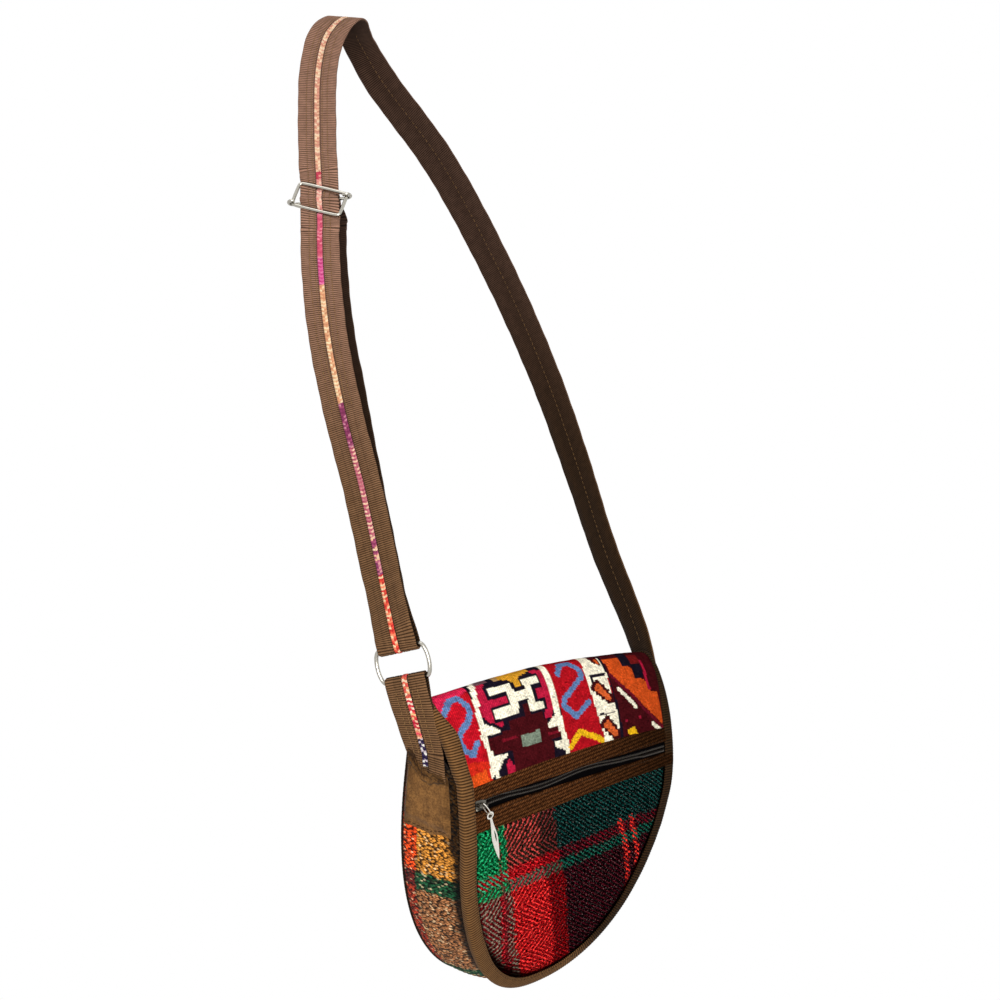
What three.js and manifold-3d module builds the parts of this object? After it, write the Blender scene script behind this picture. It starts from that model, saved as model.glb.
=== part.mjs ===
// Kilim crossbody bag, worn: flap bag below, webbing strap looped over a shoulder above.
// Millimetres, +Z up, the flap faces -Y. Shapes are drawn in the bag's own frame, whose zero is the
// middle of the flap's lowest edge, and are moved so that the strap's shoulder point is the origin.
import * as THREE from 'three';
import { mergeVertices } from 'three/addons/utils/BufferGeometryUtils.js';
import Module from 'manifold-3d';

const wasm = await Module();
wasm.setup();

// Flap outline and side profile
const FLAP_HALF = 102.5; // half width over the binding
const SIDE_Z = 177; // height where the straight sides turn into the round bottom
const ROUND = 2.3; // exponent of the round bottom
const CURL = 10; // how far the bottom edge curls back
const CURL_RISE = 80; // height over which it curls
const LEAN_Z = 130; // height where the front starts to lean back
const RIDGE_Y = 44; // depth of the top ridge behind the front
const RIDGE_Z = 233.5; // height of the top ridge
const FOLD_R = 9; // outer radius of the fold over the back
const SEAM_Z = 220; // height of the seam to the back panel
const RIDGE_CROWN = 7; // how much lower the ridge lies at the sides

// Cloth layers of the flap, measured inward from its face
const GAP = 0.3; // clearance between two pieces that touch
const PANEL_T = 1.6; // kilim, plaid and zip strips
const TAPE_IN = PANEL_T + GAP; // face of the zip tape
const TAPE_T = 0.5;
const BACKING_IN = 3.9; // face of the flap backing
const BACKING_T = 1.0;
const TAPE_FOLD = 0.9; // thickness of the folded binding
const LIP = 9.5; // visible width of the binding
const STACK = BACKING_IN + BACKING_T; // whole cloth stack inside the binding

// Zip across the flap
const ZIP_Z = 165.6; // height of the zip's middle
const WINDOW = 7; // gap between the two strips
const STRIP_UP = 11.4; // height of the upper strip
const STRIP_LOW = 13; // height of the lower strip
const ZIP_IN = 7.5; // coil ends inside the flap's edge
const ZIP_HALF = FLAP_HALF - ZIP_IN; // half length of the coils
const TOOTH_PITCH = 3.2;
const COIL_GAP = 0.7; // half gap between the coil rows
const SLIDER_HALF = 4.4; // half length of the slider
const SLIDER_TALL = 3.2; // its half height where the rows part
const SLIDER_X = -(FLAP_HALF - LIP - SLIDER_HALF - 0.5); // closed place of the slider

// Body under the flap
const BODY_SETBACK = 7.6; // front panel behind the flap's face
const CLOTH_T = 1.6; // front panel and back panel
const GUSSET_T = 2.0;
const FLAP_OVER = 1.5; // flap past the gusset at each side
const FRONT_HALF = FLAP_HALF - FLAP_OVER; // gusset half width at its front rim
const FRONT_LOW = 2; // its lowest point there
const SPLAY = 12.6; // how much wider the back is than the front, each side
const BACK_HALF = FRONT_HALF + SPLAY; // gusset half width at its back rim
const BACK_LOW = -11.3;
const BACK_Y = RIDGE_Y + FOLD_R; // outer face of the back panel
const GUSSET_TOP = 188;
const BULGE = 2.5; // outward swell of the gusset below the patches
const LINING_T = 0.7;
const PATCH_LOW = 137;
const PATCH_T = 0.9; // suede over the sewn strap end

// Strap hardware and webbing
const WEB_W = 30;
const WEB_T = 1.8;
const GROOVE = 5.2; // channel for the braid
const WEB_ON = GAP + 0.6 + WEB_T / 2; // webbing centre above the gusset
const TAB_END_Z = 150; // sewn end of the webbing under the patch
const TAB_S = 0.5; // where the webbing lies across the gusset
const RING = new THREE.Vector3(-BACK_HALF - 6.2, 61, 247.8); // middle of the oval ring
const RING_UP = new THREE.Vector3(-0.1, 0.42, 0.9).normalize();
const RING_AZ = -62; // facing of the ring
const RING_RISE = 21.4; // between the two bars
const RING_BAR = 31; // straight length of a bar
const RING_END = 4; // how far the round ends reach out
const RING_R = 1.4; // wire radius
const FOLD_WEB = RING_R + 0.4 + WEB_T / 2; // webbing centre round a bar
const TAIL = 26; // folded-back end of the tab
const LAYER = WEB_T + GAP; // spacing of two layers of webbing
const SLIDE_W = 39; // wire slide, middle to middle
const SLIDE_H = 21;
const SLIDE_TURN = 9; // how far it sits askew, degrees
const SLIDE_R = 1.3;
const BAR_R = 1.2;
const BAR_IN = 2.85; // slide bar behind the frame's plane
const DIP = 2.9; // webbing under the frame's bars
const BUMP = 1.65; // webbing over the slide bar
const SHOULDER = new THREE.Vector3(-22, 353, 683);

// The strap's way from the right gusset up behind the wearer, over the shoulder and down in front:
// place, then the azimuth and tilt of the side that faces outward.
const ROUTE_BACK = [
  [BACK_HALF + 0.4, 62, 230, 82, 0],
  [BACK_HALF + 2.4, 116, 290, 92, 0],
  [128, 170, 342, 100, 0],
  [134, 230, 410, 110, 0],
  [122, 295, 495, 121, 0],
  [84, 350, 585, 131, 4],
  [36, 385, 648, 137, 20],
  [8, 380, 673, 138, 55],
];
const ROUTE_CHEST = [
  [-43, 344, 667, -42, 38],
  [-56, 332, 640, -42, 12],
  [-70, 304, 590, -42, 2],
];
const ROUTE_SLIDE = [-81, 274, 537, -44, 0]; // the wire slide sits here
const ROUTE_FRONT = [
  [-91, 248, 488, -46, 0],
  [-98, 220, 440, -49, 0],
  [-104, 184, 391, -52, 0],
  [-110, 145, 344, -56, 0],
  [-BACK_HALF - 2.4, 103, 296, -60, 0],
];

// Colours of the pieces
const PAINT = {
  brown: 0x6b4a2a,
  suede: 0x5d4224,
  red: 0xb3141f,
  plaid: 0x1b5a46,
  orange: 0xd9933a,
  black: 0x17141a,
  lining: 0x2b2420,
  braid: 0xc2655a,
  steel: 0xd9d4c4,
};

const vec = (x, y, z) => new THREE.Vector3(x, y, z);
const rad = (deg) => (deg * Math.PI) / 180;
const lerp = (a, b, k) => a + (b - a) * k;
const spread = (from, to, count) =>
  Array.from({ length: count }, (_, i) => lerp(from, to, i / (count - 1)));
const facing = (az, tilt = 0) =>
  vec(Math.sin(rad(az)) * Math.cos(rad(tilt)), -Math.cos(rad(az)) * Math.cos(rad(tilt)), Math.sin(rad(tilt)));

// A closed body from points and triangles, turned so that its faces look out.
function body(points, faces) {
  const geometry = new THREE.BufferGeometry();
  let volume = 0;
  for (const [a, b, c] of faces) {
    volume += points[a].dot(points[b].clone().cross(points[c]));
  }
  const turned = volume < 0 ? faces.map(([a, b, c]) => [a, c, b]) : faces;
  geometry.setAttribute(
    'position',
    new THREE.Float32BufferAttribute(points.flatMap((p) => [p.x, p.y, p.z]), 3),
  );
  geometry.setIndex(turned.flat());
  return geometry;
}

// A closed sheet between two grids of points with the same rows and columns.
function slab(outer, inner) {
  const rows = outer.length;
  const cols = outer[0].length;
  const o = (i, j) => i * cols + j;
  const n = (i, j) => rows * cols + i * cols + j;
  const faces = [];
  for (let i = 0; i < rows - 1; i += 1) {
    for (let j = 0; j < cols - 1; j += 1) {
      faces.push([o(i, j), o(i + 1, j), o(i + 1, j + 1)], [o(i, j), o(i + 1, j + 1), o(i, j + 1)]);
      faces.push([n(i, j), n(i + 1, j + 1), n(i + 1, j)], [n(i, j), n(i, j + 1), n(i + 1, j + 1)]);
    }
  }
  const wall = (a, b, c, d) => faces.push([a, b, c], [a, c, d]);
  const last = rows - 1;
  const end = cols - 1;
  for (let j = 0; j < end; j += 1) {
    wall(o(0, j), o(0, j + 1), n(0, j + 1), n(0, j));
    wall(o(last, j + 1), o(last, j), n(last, j), n(last, j + 1));
  }
  for (let i = 0; i < last; i += 1) {
    wall(o(i + 1, 0), o(i, 0), n(i, 0), n(i + 1, 0));
    wall(o(i, end), o(i + 1, end), n(i + 1, end), n(i, end));
  }
  return body([...outer.flat(), ...inner.flat()], faces);
}

// A closed bar through a row of loops of points; `outline` is the loop drawn flat, for the end caps.
function loft(loops, outline) {
  const m = outline.length;
  const faces = [];
  for (let k = 0; k < loops.length - 1; k += 1) {
    for (let j = 0; j < m; j += 1) {
      const a = k * m + j;
      const b = k * m + ((j + 1) % m);
      faces.push([a, b, b + m], [a, b + m, a + m]);
    }
  }
  const flat = outline.map(([x, y]) => new THREE.Vector2(x, y));
  const clockwise = THREE.ShapeUtils.isClockWise(flat);
  const base = (loops.length - 1) * m;
  for (const [a, b, c] of THREE.ShapeUtils.triangulateShape(flat, [])) {
    const [near, far] = clockwise ? [0, base] : [base, 0];
    faces.push([far + a, far + c, far + b], [near + a, near + b, near + c]);
  }
  return body(loops.flat(), faces);
}

// Round wire along an open curve.
function wire(curve, radius, steps, sides) {
  const frames = curve.computeFrenetFrames(steps, false);
  const outline = spread(0, 2 * Math.PI, sides + 1).slice(0, sides)
    .map((a) => [Math.cos(a) * radius, Math.sin(a) * radius]);
  const loops = frames.tangents.map((_, i) =>
    outline.map(([a, b]) =>
      curve.getPointAt(i / steps).addScaledVector(frames.normals[i], a).addScaledVector(frames.binormals[i], b)));
  return loft(loops, outline);
}

// Round wire along a closed curve.
function wireRing(curve, radius, steps, sides) {
  const tube = new THREE.TubeGeometry(curve, steps, radius, sides, true);
  return bare(tube);
}

function bare(geometry) {
  geometry.deleteAttribute('normal');
  geometry.deleteAttribute('uv');
  return mergeVertices(geometry, 1e-4);
}

function toManifold(geometry) {
  const g = geometry.index && !geometry.getAttribute('uv') ? geometry : bare(geometry);
  return new wasm.Manifold(new wasm.Mesh({
    numProp: 3,
    vertProperties: new Float32Array(g.getAttribute('position').array),
    triVerts: new Uint32Array(g.index.array),
  }));
}

function fromManifold(shape) {
  const mesh = shape.getMesh();
  const geometry = new THREE.BufferGeometry();
  geometry.setAttribute('position', new THREE.Float32BufferAttribute(mesh.vertProperties, 3));
  geometry.setIndex(new THREE.Uint32BufferAttribute(mesh.triVerts, 1));
  return geometry;
}

const joined = (parts) => fromManifold(parts.map(toManifold).reduce((a, b) => a.add(b)));
const cut = (whole, tool) => fromManifold(toManifold(whole).subtract(toManifold(tool)));

// Side profile of the flap: x of the path is depth, y is height.
const profile = new THREE.Path();
profile.moveTo(CURL, 0);
profile.quadraticCurveTo(0, CURL_RISE / 2, 0, CURL_RISE);
profile.lineTo(0, LEAN_Z);
profile.bezierCurveTo(0, LEAN_Z + 38, RIDGE_Y - 16, RIDGE_Z, RIDGE_Y, RIDGE_Z);
profile.absarc(RIDGE_Y, RIDGE_Z - FOLD_R, FOLD_R, Math.PI / 2, 0, true);
profile.lineTo(RIDGE_Y + FOLD_R, SEAM_Z);
const PROFILE_L = profile.getLength();
const PROFILE_POINTS = profile.getSpacedPoints(600);

// Length along the profile at which the front reaches a height.
function runAt(z) {
  const i = PROFILE_POINTS.findIndex((p) => p.y >= z);
  if (i <= 0) {
    return 0;
  }
  const [a, b] = [PROFILE_POINTS[i - 1], PROFILE_POINTS[i]];
  return ((i - 1 + (z - a.y) / (b.y - a.y)) / 600) * PROFILE_L;
}

const RIDGE_RUN = runAt(RIDGE_Z - 0.05);
const KILIM_RUN = runAt(ZIP_Z) + WINDOW / 2 + STRIP_UP + GAP;

// A point of the flap: across, along the profile, and out from its face.
function flapPoint(x, run, out) {
  const u = THREE.MathUtils.clamp(run / PROFILE_L, 0, 1);
  const p = profile.getPointAt(u);
  const t = profile.getTangentAt(u);
  const crown = RIDGE_CROWN * (x / FLAP_HALF) ** 2 * THREE.MathUtils.smoothstep(run, KILIM_RUN, RIDGE_RUN);
  return vec(x, p.x - t.y * out, p.y + t.x * out - crown);
}

// Half width of a round-bottomed outline at a height.
function halfAt(z, half, low) {
  const q = Math.max(0, (SIDE_Z - z) / (SIDE_Z - low));
  return half * (1 - q ** ROUND) ** (1 / ROUND);
}

// Point of a round-bottomed outline at an angle: 0 is the side, 90 the lowest point.
function roundAt(angle, half, low) {
  const e = 2 / ROUND;
  return {
    x: half * Math.cos(rad(angle)) ** e,
    z: SIDE_Z - (SIDE_Z - low) * Math.sin(rad(angle)) ** e,
  };
}

// Angle of a round-bottomed outline at a height.
function angleAt(z, low) {
  return (Math.asin(((SIDE_Z - z) / (SIDE_Z - low)) ** (ROUND / 2)) * 180) / Math.PI;
}

// Rows of a round-bottomed panel: from its bottom chord to where the flap leans, then up to a top.
function panelRows(half, low, top, count) {
  const round = spread(86, angleAt(LEAN_Z, low), count).map((a) => roundAt(a, half, low));
  const steps = Math.ceil((top - LEAN_Z) / 9) + 1;
  const upper = spread(LEAN_Z, top, steps).slice(1).map((z) => ({ x: halfAt(z, half, low), z }));
  return [...round, ...upper];
}

// Flap cloth between two depths, over rows of half width and run.
function flapSheet(rows, cols, outside, inside) {
  const grid = (out) =>
    rows.map(({ half, run }) => spread(-half, half, cols).map((x) => flapPoint(x, run, out)));
  return slab(grid(-outside), grid(-inside));
}

const INSET = TAPE_FOLD + 0.4; // cloth edge inside the binding's fold
const CLOTH_HALF = FLAP_HALF - INSET;

const rowsUpTo = (top, count) =>
  panelRows(CLOTH_HALF, INSET, top, count).map(({ x, z }) => ({ half: x, run: runAt(z) }));

const bandRows = (from, to, count) =>
  spread(from, to, count).map((run) => ({ half: halfAt(flapPoint(0, run, 0).z, CLOTH_HALF, INSET), run }));

const ZIP_RUN = runAt(ZIP_Z);
const lowEdge = ZIP_RUN - WINDOW / 2 - STRIP_LOW;

// Runs of the rows from the kilim's front edge over the ridge and round the fold to the seam.
const TOP_RUNS = [
  ...spread(KILIM_RUN, RIDGE_RUN, 8),
  ...spread(RIDGE_RUN, RIDGE_RUN + (FOLD_R * Math.PI) / 2, 6).slice(1),
  PROFILE_L,
];
const topRows = TOP_RUNS.map((run) => ({ half: CLOTH_HALF, run }));

function plaidPanel() {
  return flapSheet(rowsUpTo(flapPoint(0, lowEdge - GAP, 0).z, 12), 2, 0, PANEL_T);
}

function kilimPanel() {
  return flapSheet(topRows, 9, 0, PANEL_T);
}

function upperStrip() {
  return flapSheet(bandRows(ZIP_RUN + WINDOW / 2, KILIM_RUN - GAP, 6), 2, 0, PANEL_T);
}

function lowerStrip() {
  return flapSheet(bandRows(lowEdge, ZIP_RUN - WINDOW / 2, 6), 2, 0, PANEL_T);
}

function flapBacking() {
  return flapSheet([...rowsUpTo(SIDE_Z, 11), ...topRows], 9, BACKING_IN, STACK);
}

function zipTape(side) {
  const rows = spread(COIL_GAP + 0.2, COIL_GAP + 9, 4)
    .map((v) => ({ half: ZIP_HALF + 3, run: ZIP_RUN + side * v }));
  return flapSheet(side > 0 ? rows : rows.reverse(), 2, TAPE_IN, TAPE_IN + TAPE_T);
}

// Ribbed tape folded over the flap's edge, from the back seam round the bottom to the back seam.
function flapBinding() {
  const face = TAPE_FOLD + GAP;
  const back = -(STACK + GAP + TAPE_FOLD);
  const outline = [
    [-LIP, face], [-LIP, GAP], [-TAPE_FOLD, GAP], [-TAPE_FOLD, back + TAPE_FOLD], [-LIP, back + TAPE_FOLD],
    [-LIP, back], [-1.2, back], [0, back + 1.6], [0, face - 1.6], [-1.2, face],
  ];
  const start = angleAt(LEAN_Z, 0);
  const lean = spread(LEAN_Z, SIDE_Z, 7).slice(1, -1).map((z) => angleAt(z, 0));
  const angles = [...lean.reverse(), ...spread(start, 180 - start, 27), ...lean.reverse().map((a) => 180 - a)];
  const sides = [runAt(SIDE_Z), ...TOP_RUNS];
  const stations = [
    ...[...sides].reverse().map((run) => ({ x: -FLAP_HALF, run, ox: -1, oz: 0 })),
    ...angles.map((a) => bindingStation(a)),
    ...sides.map((run) => ({ x: FLAP_HALF, run, ox: 1, oz: 0 })),
  ];
  const loops = stations.map(({ x, run, ox, oz }) =>
    outline.map(([a, b]) => flapPoint(x + a * ox, Math.max(0, run + a * oz), b)));
  return loft(loops, outline);
}

// Place and outward direction of the flap's outline at an angle along its round bottom.
function bindingStation(angle) {
  const at = (a) => {
    const p = roundAt(Math.min(a, 180 - a), FLAP_HALF, 0);
    return { x: a < 90 ? -p.x : p.x, run: runAt(p.z) };
  };
  const [p, a, b] = [at(angle), at(angle - 0.5), at(angle + 0.5)];
  const [dx, dr] = [b.x - a.x, b.run - a.run];
  const size = Math.hypot(dx, dr);
  return { ...p, ox: dr / size, oz: -dx / size };
}

// Frame of the zip at a place across: x along the zip, y up the flap, z out of it.
function zipFrame(x) {
  const origin = flapPoint(x, ZIP_RUN, 0);
  const up = flapPoint(x, ZIP_RUN + 0.5, 0).sub(flapPoint(x, ZIP_RUN - 0.5, 0)).normalize();
  const out = flapPoint(x, ZIP_RUN, 1).sub(origin).normalize();
  return new THREE.Matrix4().makeBasis(vec(1, 0, 0), up, out).setPosition(origin);
}

function box(x0, x1, y0, y1, z0, z1) {
  const shape = new THREE.BoxGeometry(x1 - x0, y1 - y0, z1 - z0);
  return shape.translate((x0 + x1) / 2, (y0 + y1) / 2, (z0 + z1) / 2);
}

// One row of coil: a rail with a tooth at every pitch.
function zipCoil(side) {
  const rail = COIL_GAP + 1;
  const shape = new THREE.Shape();
  shape.moveTo(-ZIP_HALF, rail + 0.9);
  shape.lineTo(-ZIP_HALF, rail);
  const count = Math.floor((2 * ZIP_HALF - 1) / TOOTH_PITCH);
  for (let i = 0; i < count; i += 1) {
    const x = -ZIP_HALF + (i + 0.5) * TOOTH_PITCH;
    shape.lineTo(x, COIL_GAP);
    shape.lineTo(x + TOOTH_PITCH / 2, rail);
  }
  shape.lineTo(ZIP_HALF, rail);
  shape.lineTo(ZIP_HALF, rail + 0.9);
  const row = new THREE.ExtrudeGeometry(shape, { depth: 1.4, bevelEnabled: false });
  row.translate(0, 0, -PANEL_T);
  if (side < 0) {
    row.rotateZ(Math.PI);
  }
  return bare(row.applyMatrix4(zipFrame(0)));
}

const BAIL_OUT = 4.4; // bail bar out from the flap's face
const LINK_TOP = 1.6; // link wire above the bail bar
const LINK_LOW = 7; // link wire below it
const LINK_TILT = 25; // link leans along the zip
const LINK_LIFT = 20; // link stands off the cloth
const LINK_R = 0.5;
const DROP_TILT = 20; // drop leans along the flap
const EYE_R = 2.2;
const EYE_BACK = 0.5; // the eye sits back in the leaning link
const DROP_L = 39;

// Slider: two plates joined by a wedge between the coil rows, and a bail on top.
function zipSlider() {
  const plate = new THREE.Shape();
  plate.moveTo(-SLIDER_HALF, -SLIDER_TALL);
  plate.lineTo(1.2, -SLIDER_TALL);
  plate.lineTo(SLIDER_HALF, -SLIDER_TALL + 0.9);
  plate.lineTo(SLIDER_HALF, SLIDER_TALL - 0.9);
  plate.lineTo(1.2, SLIDER_TALL);
  plate.lineTo(-SLIDER_HALF, SLIDER_TALL);
  const front = new THREE.ExtrudeGeometry(plate, { depth: 0.9, bevelEnabled: false }).translate(0, 0, 0.35);
  const back = new THREE.ExtrudeGeometry(plate, { depth: 0.8, bevelEnabled: false });
  back.scale(0.92, 0.9, 1).translate(0, 0, -3.55);
  const wedge = box(0.5 - SLIDER_HALF, 2.6 - SLIDER_HALF, -0.4, 0.4, -3, 0.6);
  const foot = SLIDER_HALF - 0.8;
  const arch = new THREE.Shape();
  arch.moveTo(-foot, 1);
  arch.lineTo(-foot, BAIL_OUT);
  arch.lineTo(0.8 - foot, BAIL_OUT + 0.6);
  arch.lineTo(foot - 0.8, BAIL_OUT + 0.6);
  arch.lineTo(foot, BAIL_OUT);
  arch.lineTo(foot, 1);
  arch.lineTo(foot - 1.1, 1);
  arch.lineTo(foot - 1.1, BAIL_OUT - 0.6);
  arch.lineTo(1.1 - foot, BAIL_OUT - 0.6);
  arch.lineTo(1.1 - foot, 1);
  const bail = new THREE.ExtrudeGeometry(arch, { depth: 1, bevelEnabled: false });
  bail.translate(0, 0, -0.5).rotateX(Math.PI / 2);
  return joined([front, back, wedge, bail]).applyMatrix4(zipFrame(SLIDER_X));
}

// Turn and place of the link on the bail: it leans along the zip and stands off the cloth.
function linkFrame() {
  return zipFrame(SLIDER_X)
    .multiply(new THREE.Matrix4().makeTranslation(0, 0, BAIL_OUT))
    .multiply(new THREE.Matrix4().makeRotationX(-rad(LINK_LIFT)))
    .multiply(new THREE.Matrix4().makeRotationZ(rad(LINK_TILT)));
}

// Oval wire link round the bail bar.
function pullLink() {
  const mid = (LINK_TOP - LINK_LOW) / 2;
  const tall = (LINK_TOP + LINK_LOW) / 2;
  const points = spread(0, 2 * Math.PI, 25).slice(0, 24)
    .map((a) => vec(0, mid + tall * Math.cos(a), 1.9 * Math.sign(Math.sin(a)) * Math.abs(Math.sin(a)) ** 0.5));
  const loop = new THREE.CatmullRomCurve3(points, true);
  return wireRing(loop, LINK_R, 22, 5).applyMatrix4(linkFrame());
}

// Middle of the link's lower bow, where the drop hangs and swings.
function dropPlace() {
  return vec(0, -LINK_LOW, 0).applyMatrix4(linkFrame());
}

// Openwork leaf with an eye, hanging in front of the flap.
function pullDrop() {
  const thick = 1.1;
  const eye = new THREE.Shape();
  eye.absarc(0, -EYE_R + 0.6, EYE_R + 0.6, 0, 2 * Math.PI);
  eye.holes.push(new THREE.Path().absarc(0, -EYE_R + 0.6, EYE_R - 0.5, 0, 2 * Math.PI, true));
  const leaf = new THREE.Shape();
  const top = -2 * EYE_R + 0.4;
  const down = (part) => top - part * (DROP_L - 4);
  leaf.moveTo(-0.8, top);
  leaf.bezierCurveTo(-1.2, down(0.3), -3.2, down(0.41), -2.2, down(0.59));
  leaf.bezierCurveTo(-1.6, down(0.78), -0.9, down(0.93), 0, down(1));
  leaf.bezierCurveTo(0.9, down(0.93), 1.6, down(0.78), 2.2, down(0.59));
  leaf.bezierCurveTo(3.2, down(0.41), 1.2, down(0.3), 0.8, top);
  const slot = new THREE.Path();
  slot.moveTo(0.5, down(0.3));
  slot.bezierCurveTo(1.6, down(0.37), 1.6, down(0.52), 0.7, down(0.59));
  slot.bezierCurveTo(0.2, down(0.52), 0.2, down(0.37), 0.5, down(0.3));
  leaf.holes.push(slot);
  const deep = { depth: thick, bevelEnabled: false, curveSegments: 6 };
  const parts = [new THREE.ExtrudeGeometry(eye, deep), new THREE.ExtrudeGeometry(leaf, deep)];
  const slack = LINK_R + 0.45;
  const flat = joined(parts).translate(0, slack, -thick / 2).rotateX(Math.PI / 2);
  flat.rotateY(-rad(DROP_TILT));
  const at = dropPlace();
  return flat.translate(at.x, at.y + EYE_BACK, at.z);
}

// A point of the gusset: q runs from the left top (-1) round the bottom (0) to the right top (1),
// s from the front rim to the back rim, out is away from its face.
function gussetPoint(q, s, out) {
  const base = (a, k) => {
    const turn = 0.94;
    const m = Math.min(Math.abs(a), 1.2);
    const side = a < 0 ? -1 : 1;
    const ring = (half, low) => (m < turn
      ? roundAt(90 * (1 - m / turn), half, low)
      : { x: half, z: lerp(SIDE_Z, GUSSET_TOP, (m - turn) / (1 - turn)) });
    const f = ring(FRONT_HALF, FRONT_LOW);
    const b = ring(BACK_HALF, BACK_LOW);
    const front = flapPoint(side * f.x, runAt(f.z), -BODY_SETBACK + 0.2);
    return front.lerp(vec(side * b.x, BACK_Y - 0.4, b.z), k);
  };
  const across = base(q, s + 0.01).sub(base(q, s - 0.01));
  const along = base(q + 0.01, s).sub(base(q - 0.01, s));
  const normal = across.cross(along).normalize();
  const p = base(q, s);
  const free = 1 - THREE.MathUtils.smoothstep(p.z, PATCH_LOW - 40, PATCH_LOW);
  return p.addScaledVector(normal, out + free * BULGE * 4 * s * (1 - s));
}

// Gusset position for a height on one side.
function gussetQ(z, side) {
  if (z > SIDE_Z) {
    return side * lerp(0.94, 1, (z - SIDE_Z) / (GUSSET_TOP - SIDE_Z));
  }
  const low = (FRONT_LOW + BACK_LOW) / 2;
  const angle = Math.asin(((SIDE_Z - z) / (SIDE_Z - low)) ** (ROUND / 2)) / (Math.PI / 2);
  return side * 0.94 * (1 - angle);
}

function gusset() {
  const grid = (out, rim) => spread(-1, 1, 43)
    .map((q) => spread(0, rim, 4).map((s) => gussetPoint(q, s, out)));
  return slab(grid(0, 1), grid(-GUSSET_T, 0.985));
}

// Narrow dark tape over the gusset's back rim.
function backBinding() {
  const outline = [[-1.9, 0], [-1.6, 1.4], [-0.6, 1.9], [0.6, 1.4], [1, 0]];
  const loops = spread(-1, 1, 43).map((q) => {
    const p = gussetPoint(q, 1, 0);
    const out = gussetPoint(q, 1, 1).sub(p).setY(0).normalize();
    return outline.map(([a, b]) => p.clone().addScaledVector(out, a).setY(BACK_Y - 0.1 + b));
  });
  return loft(loops, outline);
}

function frontPanel() {
  const rows = panelRows(FRONT_HALF - GUSSET_T - 0.4, FRONT_LOW + GUSSET_T + 0.5, GUSSET_TOP - 2, 9);
  const sheet = rows.map(({ x, z }) => ({ half: x, run: runAt(z) }));
  return flapSheet(sheet, 2, BODY_SETBACK, BODY_SETBACK + CLOTH_T);
}

// Flat back, from its round bottom up to the flap's seam, narrowing above the gusset.
function backPanel() {
  const half = BACK_HALF - GUSSET_T - 0.9;
  const rows = panelRows(half, BACK_LOW + GUSSET_T + 0.9, GUSSET_TOP, 10).map(({ x, z }) => ({ x, z, k: 0 }));
  rows.push(...spread(0, 1, 5).slice(1).map((k) => ({
    x: lerp(half, FLAP_HALF - 0.4, k), z: lerp(GUSSET_TOP, SEAM_Z - GAP, k), k,
  })));
  const grid = (y) => rows.map(({ x, z, k }) =>
    spread(-x, x, 5).map((a) => vec(a, y, z - k * RIDGE_CROWN * (a / FLAP_HALF) ** 2)));
  return slab(grid(BACK_Y - CLOTH_T - 0.2), grid(BACK_Y));
}

// Space inside the body, drawn in by an inset; its top may be raised to leave the mouth open.
function bodySpace(inset, rise) {
  const front = panelRows(FRONT_HALF - GUSSET_T - 1 - inset, FRONT_LOW + GUSSET_T + 1.2 + inset, GUSSET_TOP - 4 + rise, 9);
  const back = panelRows(BACK_HALF - GUSSET_T - 1.6 - inset, BACK_LOW + GUSSET_T + 1.6 + inset, SEAM_Z - 12 + rise, 9);
  const out = -(BODY_SETBACK + CLOTH_T + GAP + inset);
  const near = front.map(({ x, z }) => spread(-x, x, 2).map((a) => flapPoint(a, runAt(z), out)));
  const far = back.map(({ x, z }) => spread(-x, x, 2).map((a) => vec(a, BACK_Y - CLOTH_T - 0.6 - inset, z)));
  return slab(near, far);
}

function lining() {
  return cut(bodySpace(0, 0), bodySpace(LINING_T, 6));
}

// Suede patch over the sewn webbing end, hollowed where the webbing lies.
function patch(side) {
  const block = (z0, z1, s0, s1, n0, n1) => {
    const grid = (out) => spread(z0, z1, 6)
      .map((z) => spread(s0, s1, 5).map((s) => gussetPoint(gussetQ(z, side), s, out)));
    return slab(grid(n1), grid(n0));
  };
  const face = WEB_ON + WEB_T / 2 + 2 * GAP;
  const whole = block(PATCH_LOW, GUSSET_TOP - 0.5, 0.03, 0.97, GAP, face + PATCH_T);
  const slot = block(TAB_END_Z - 4, GUSSET_TOP + 8, TAB_S - 0.49, TAB_S + 0.49, 0, face);
  return cut(whole, slot);
}

// Webbing: stations carry a centre and the outward side; some push that side out across the width
// or slant across it.
const WEB_OUTLINE = [
  [-WEB_W / 2, -WEB_T / 2], [WEB_W / 2, -WEB_T / 2], [WEB_W / 2, WEB_T / 2], [GROOVE / 2, WEB_T / 2],
  [GROOVE / 2, 0], [-GROOVE / 2, 0], [-GROOVE / 2, WEB_T / 2], [-WEB_W / 2, WEB_T / 2],
];
const BRAID_OUTLINE = [[-2.1, 0.45], [2.1, 0.45], [1.5, 1.2], [-1.5, 1.2]];

function ribbon(stations, outline) {
  const last = stations.length - 1;
  const loops = stations.map(({ p, side, push, slant = 0 }, i) => {
    const a = stations[Math.max(0, i - 1)].p;
    const b = stations[Math.min(last, i + 1)].p;
    const along = b.clone().sub(a).normalize();
    const across = side.clone().cross(along).normalize();
    const out = along.clone().cross(across).normalize();
    return outline.map(([w, n]) =>
      p.clone().addScaledVector(across, w).addScaledVector(along, slant * w)
        .addScaledVector(out, n + (push ? push(w) : 0)));
  });
  return loft(loops, outline);
}

// Half turn of webbing round a ring bar.
function turn(axis, side, along, count) {
  return spread(0, Math.PI, count).slice(1).map((a) => {
    const out = side.clone().multiplyScalar(Math.cos(a)).addScaledVector(along, Math.sin(a));
    return { p: axis.clone().addScaledVector(out, FOLD_WEB), side: out };
  });
}

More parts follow.
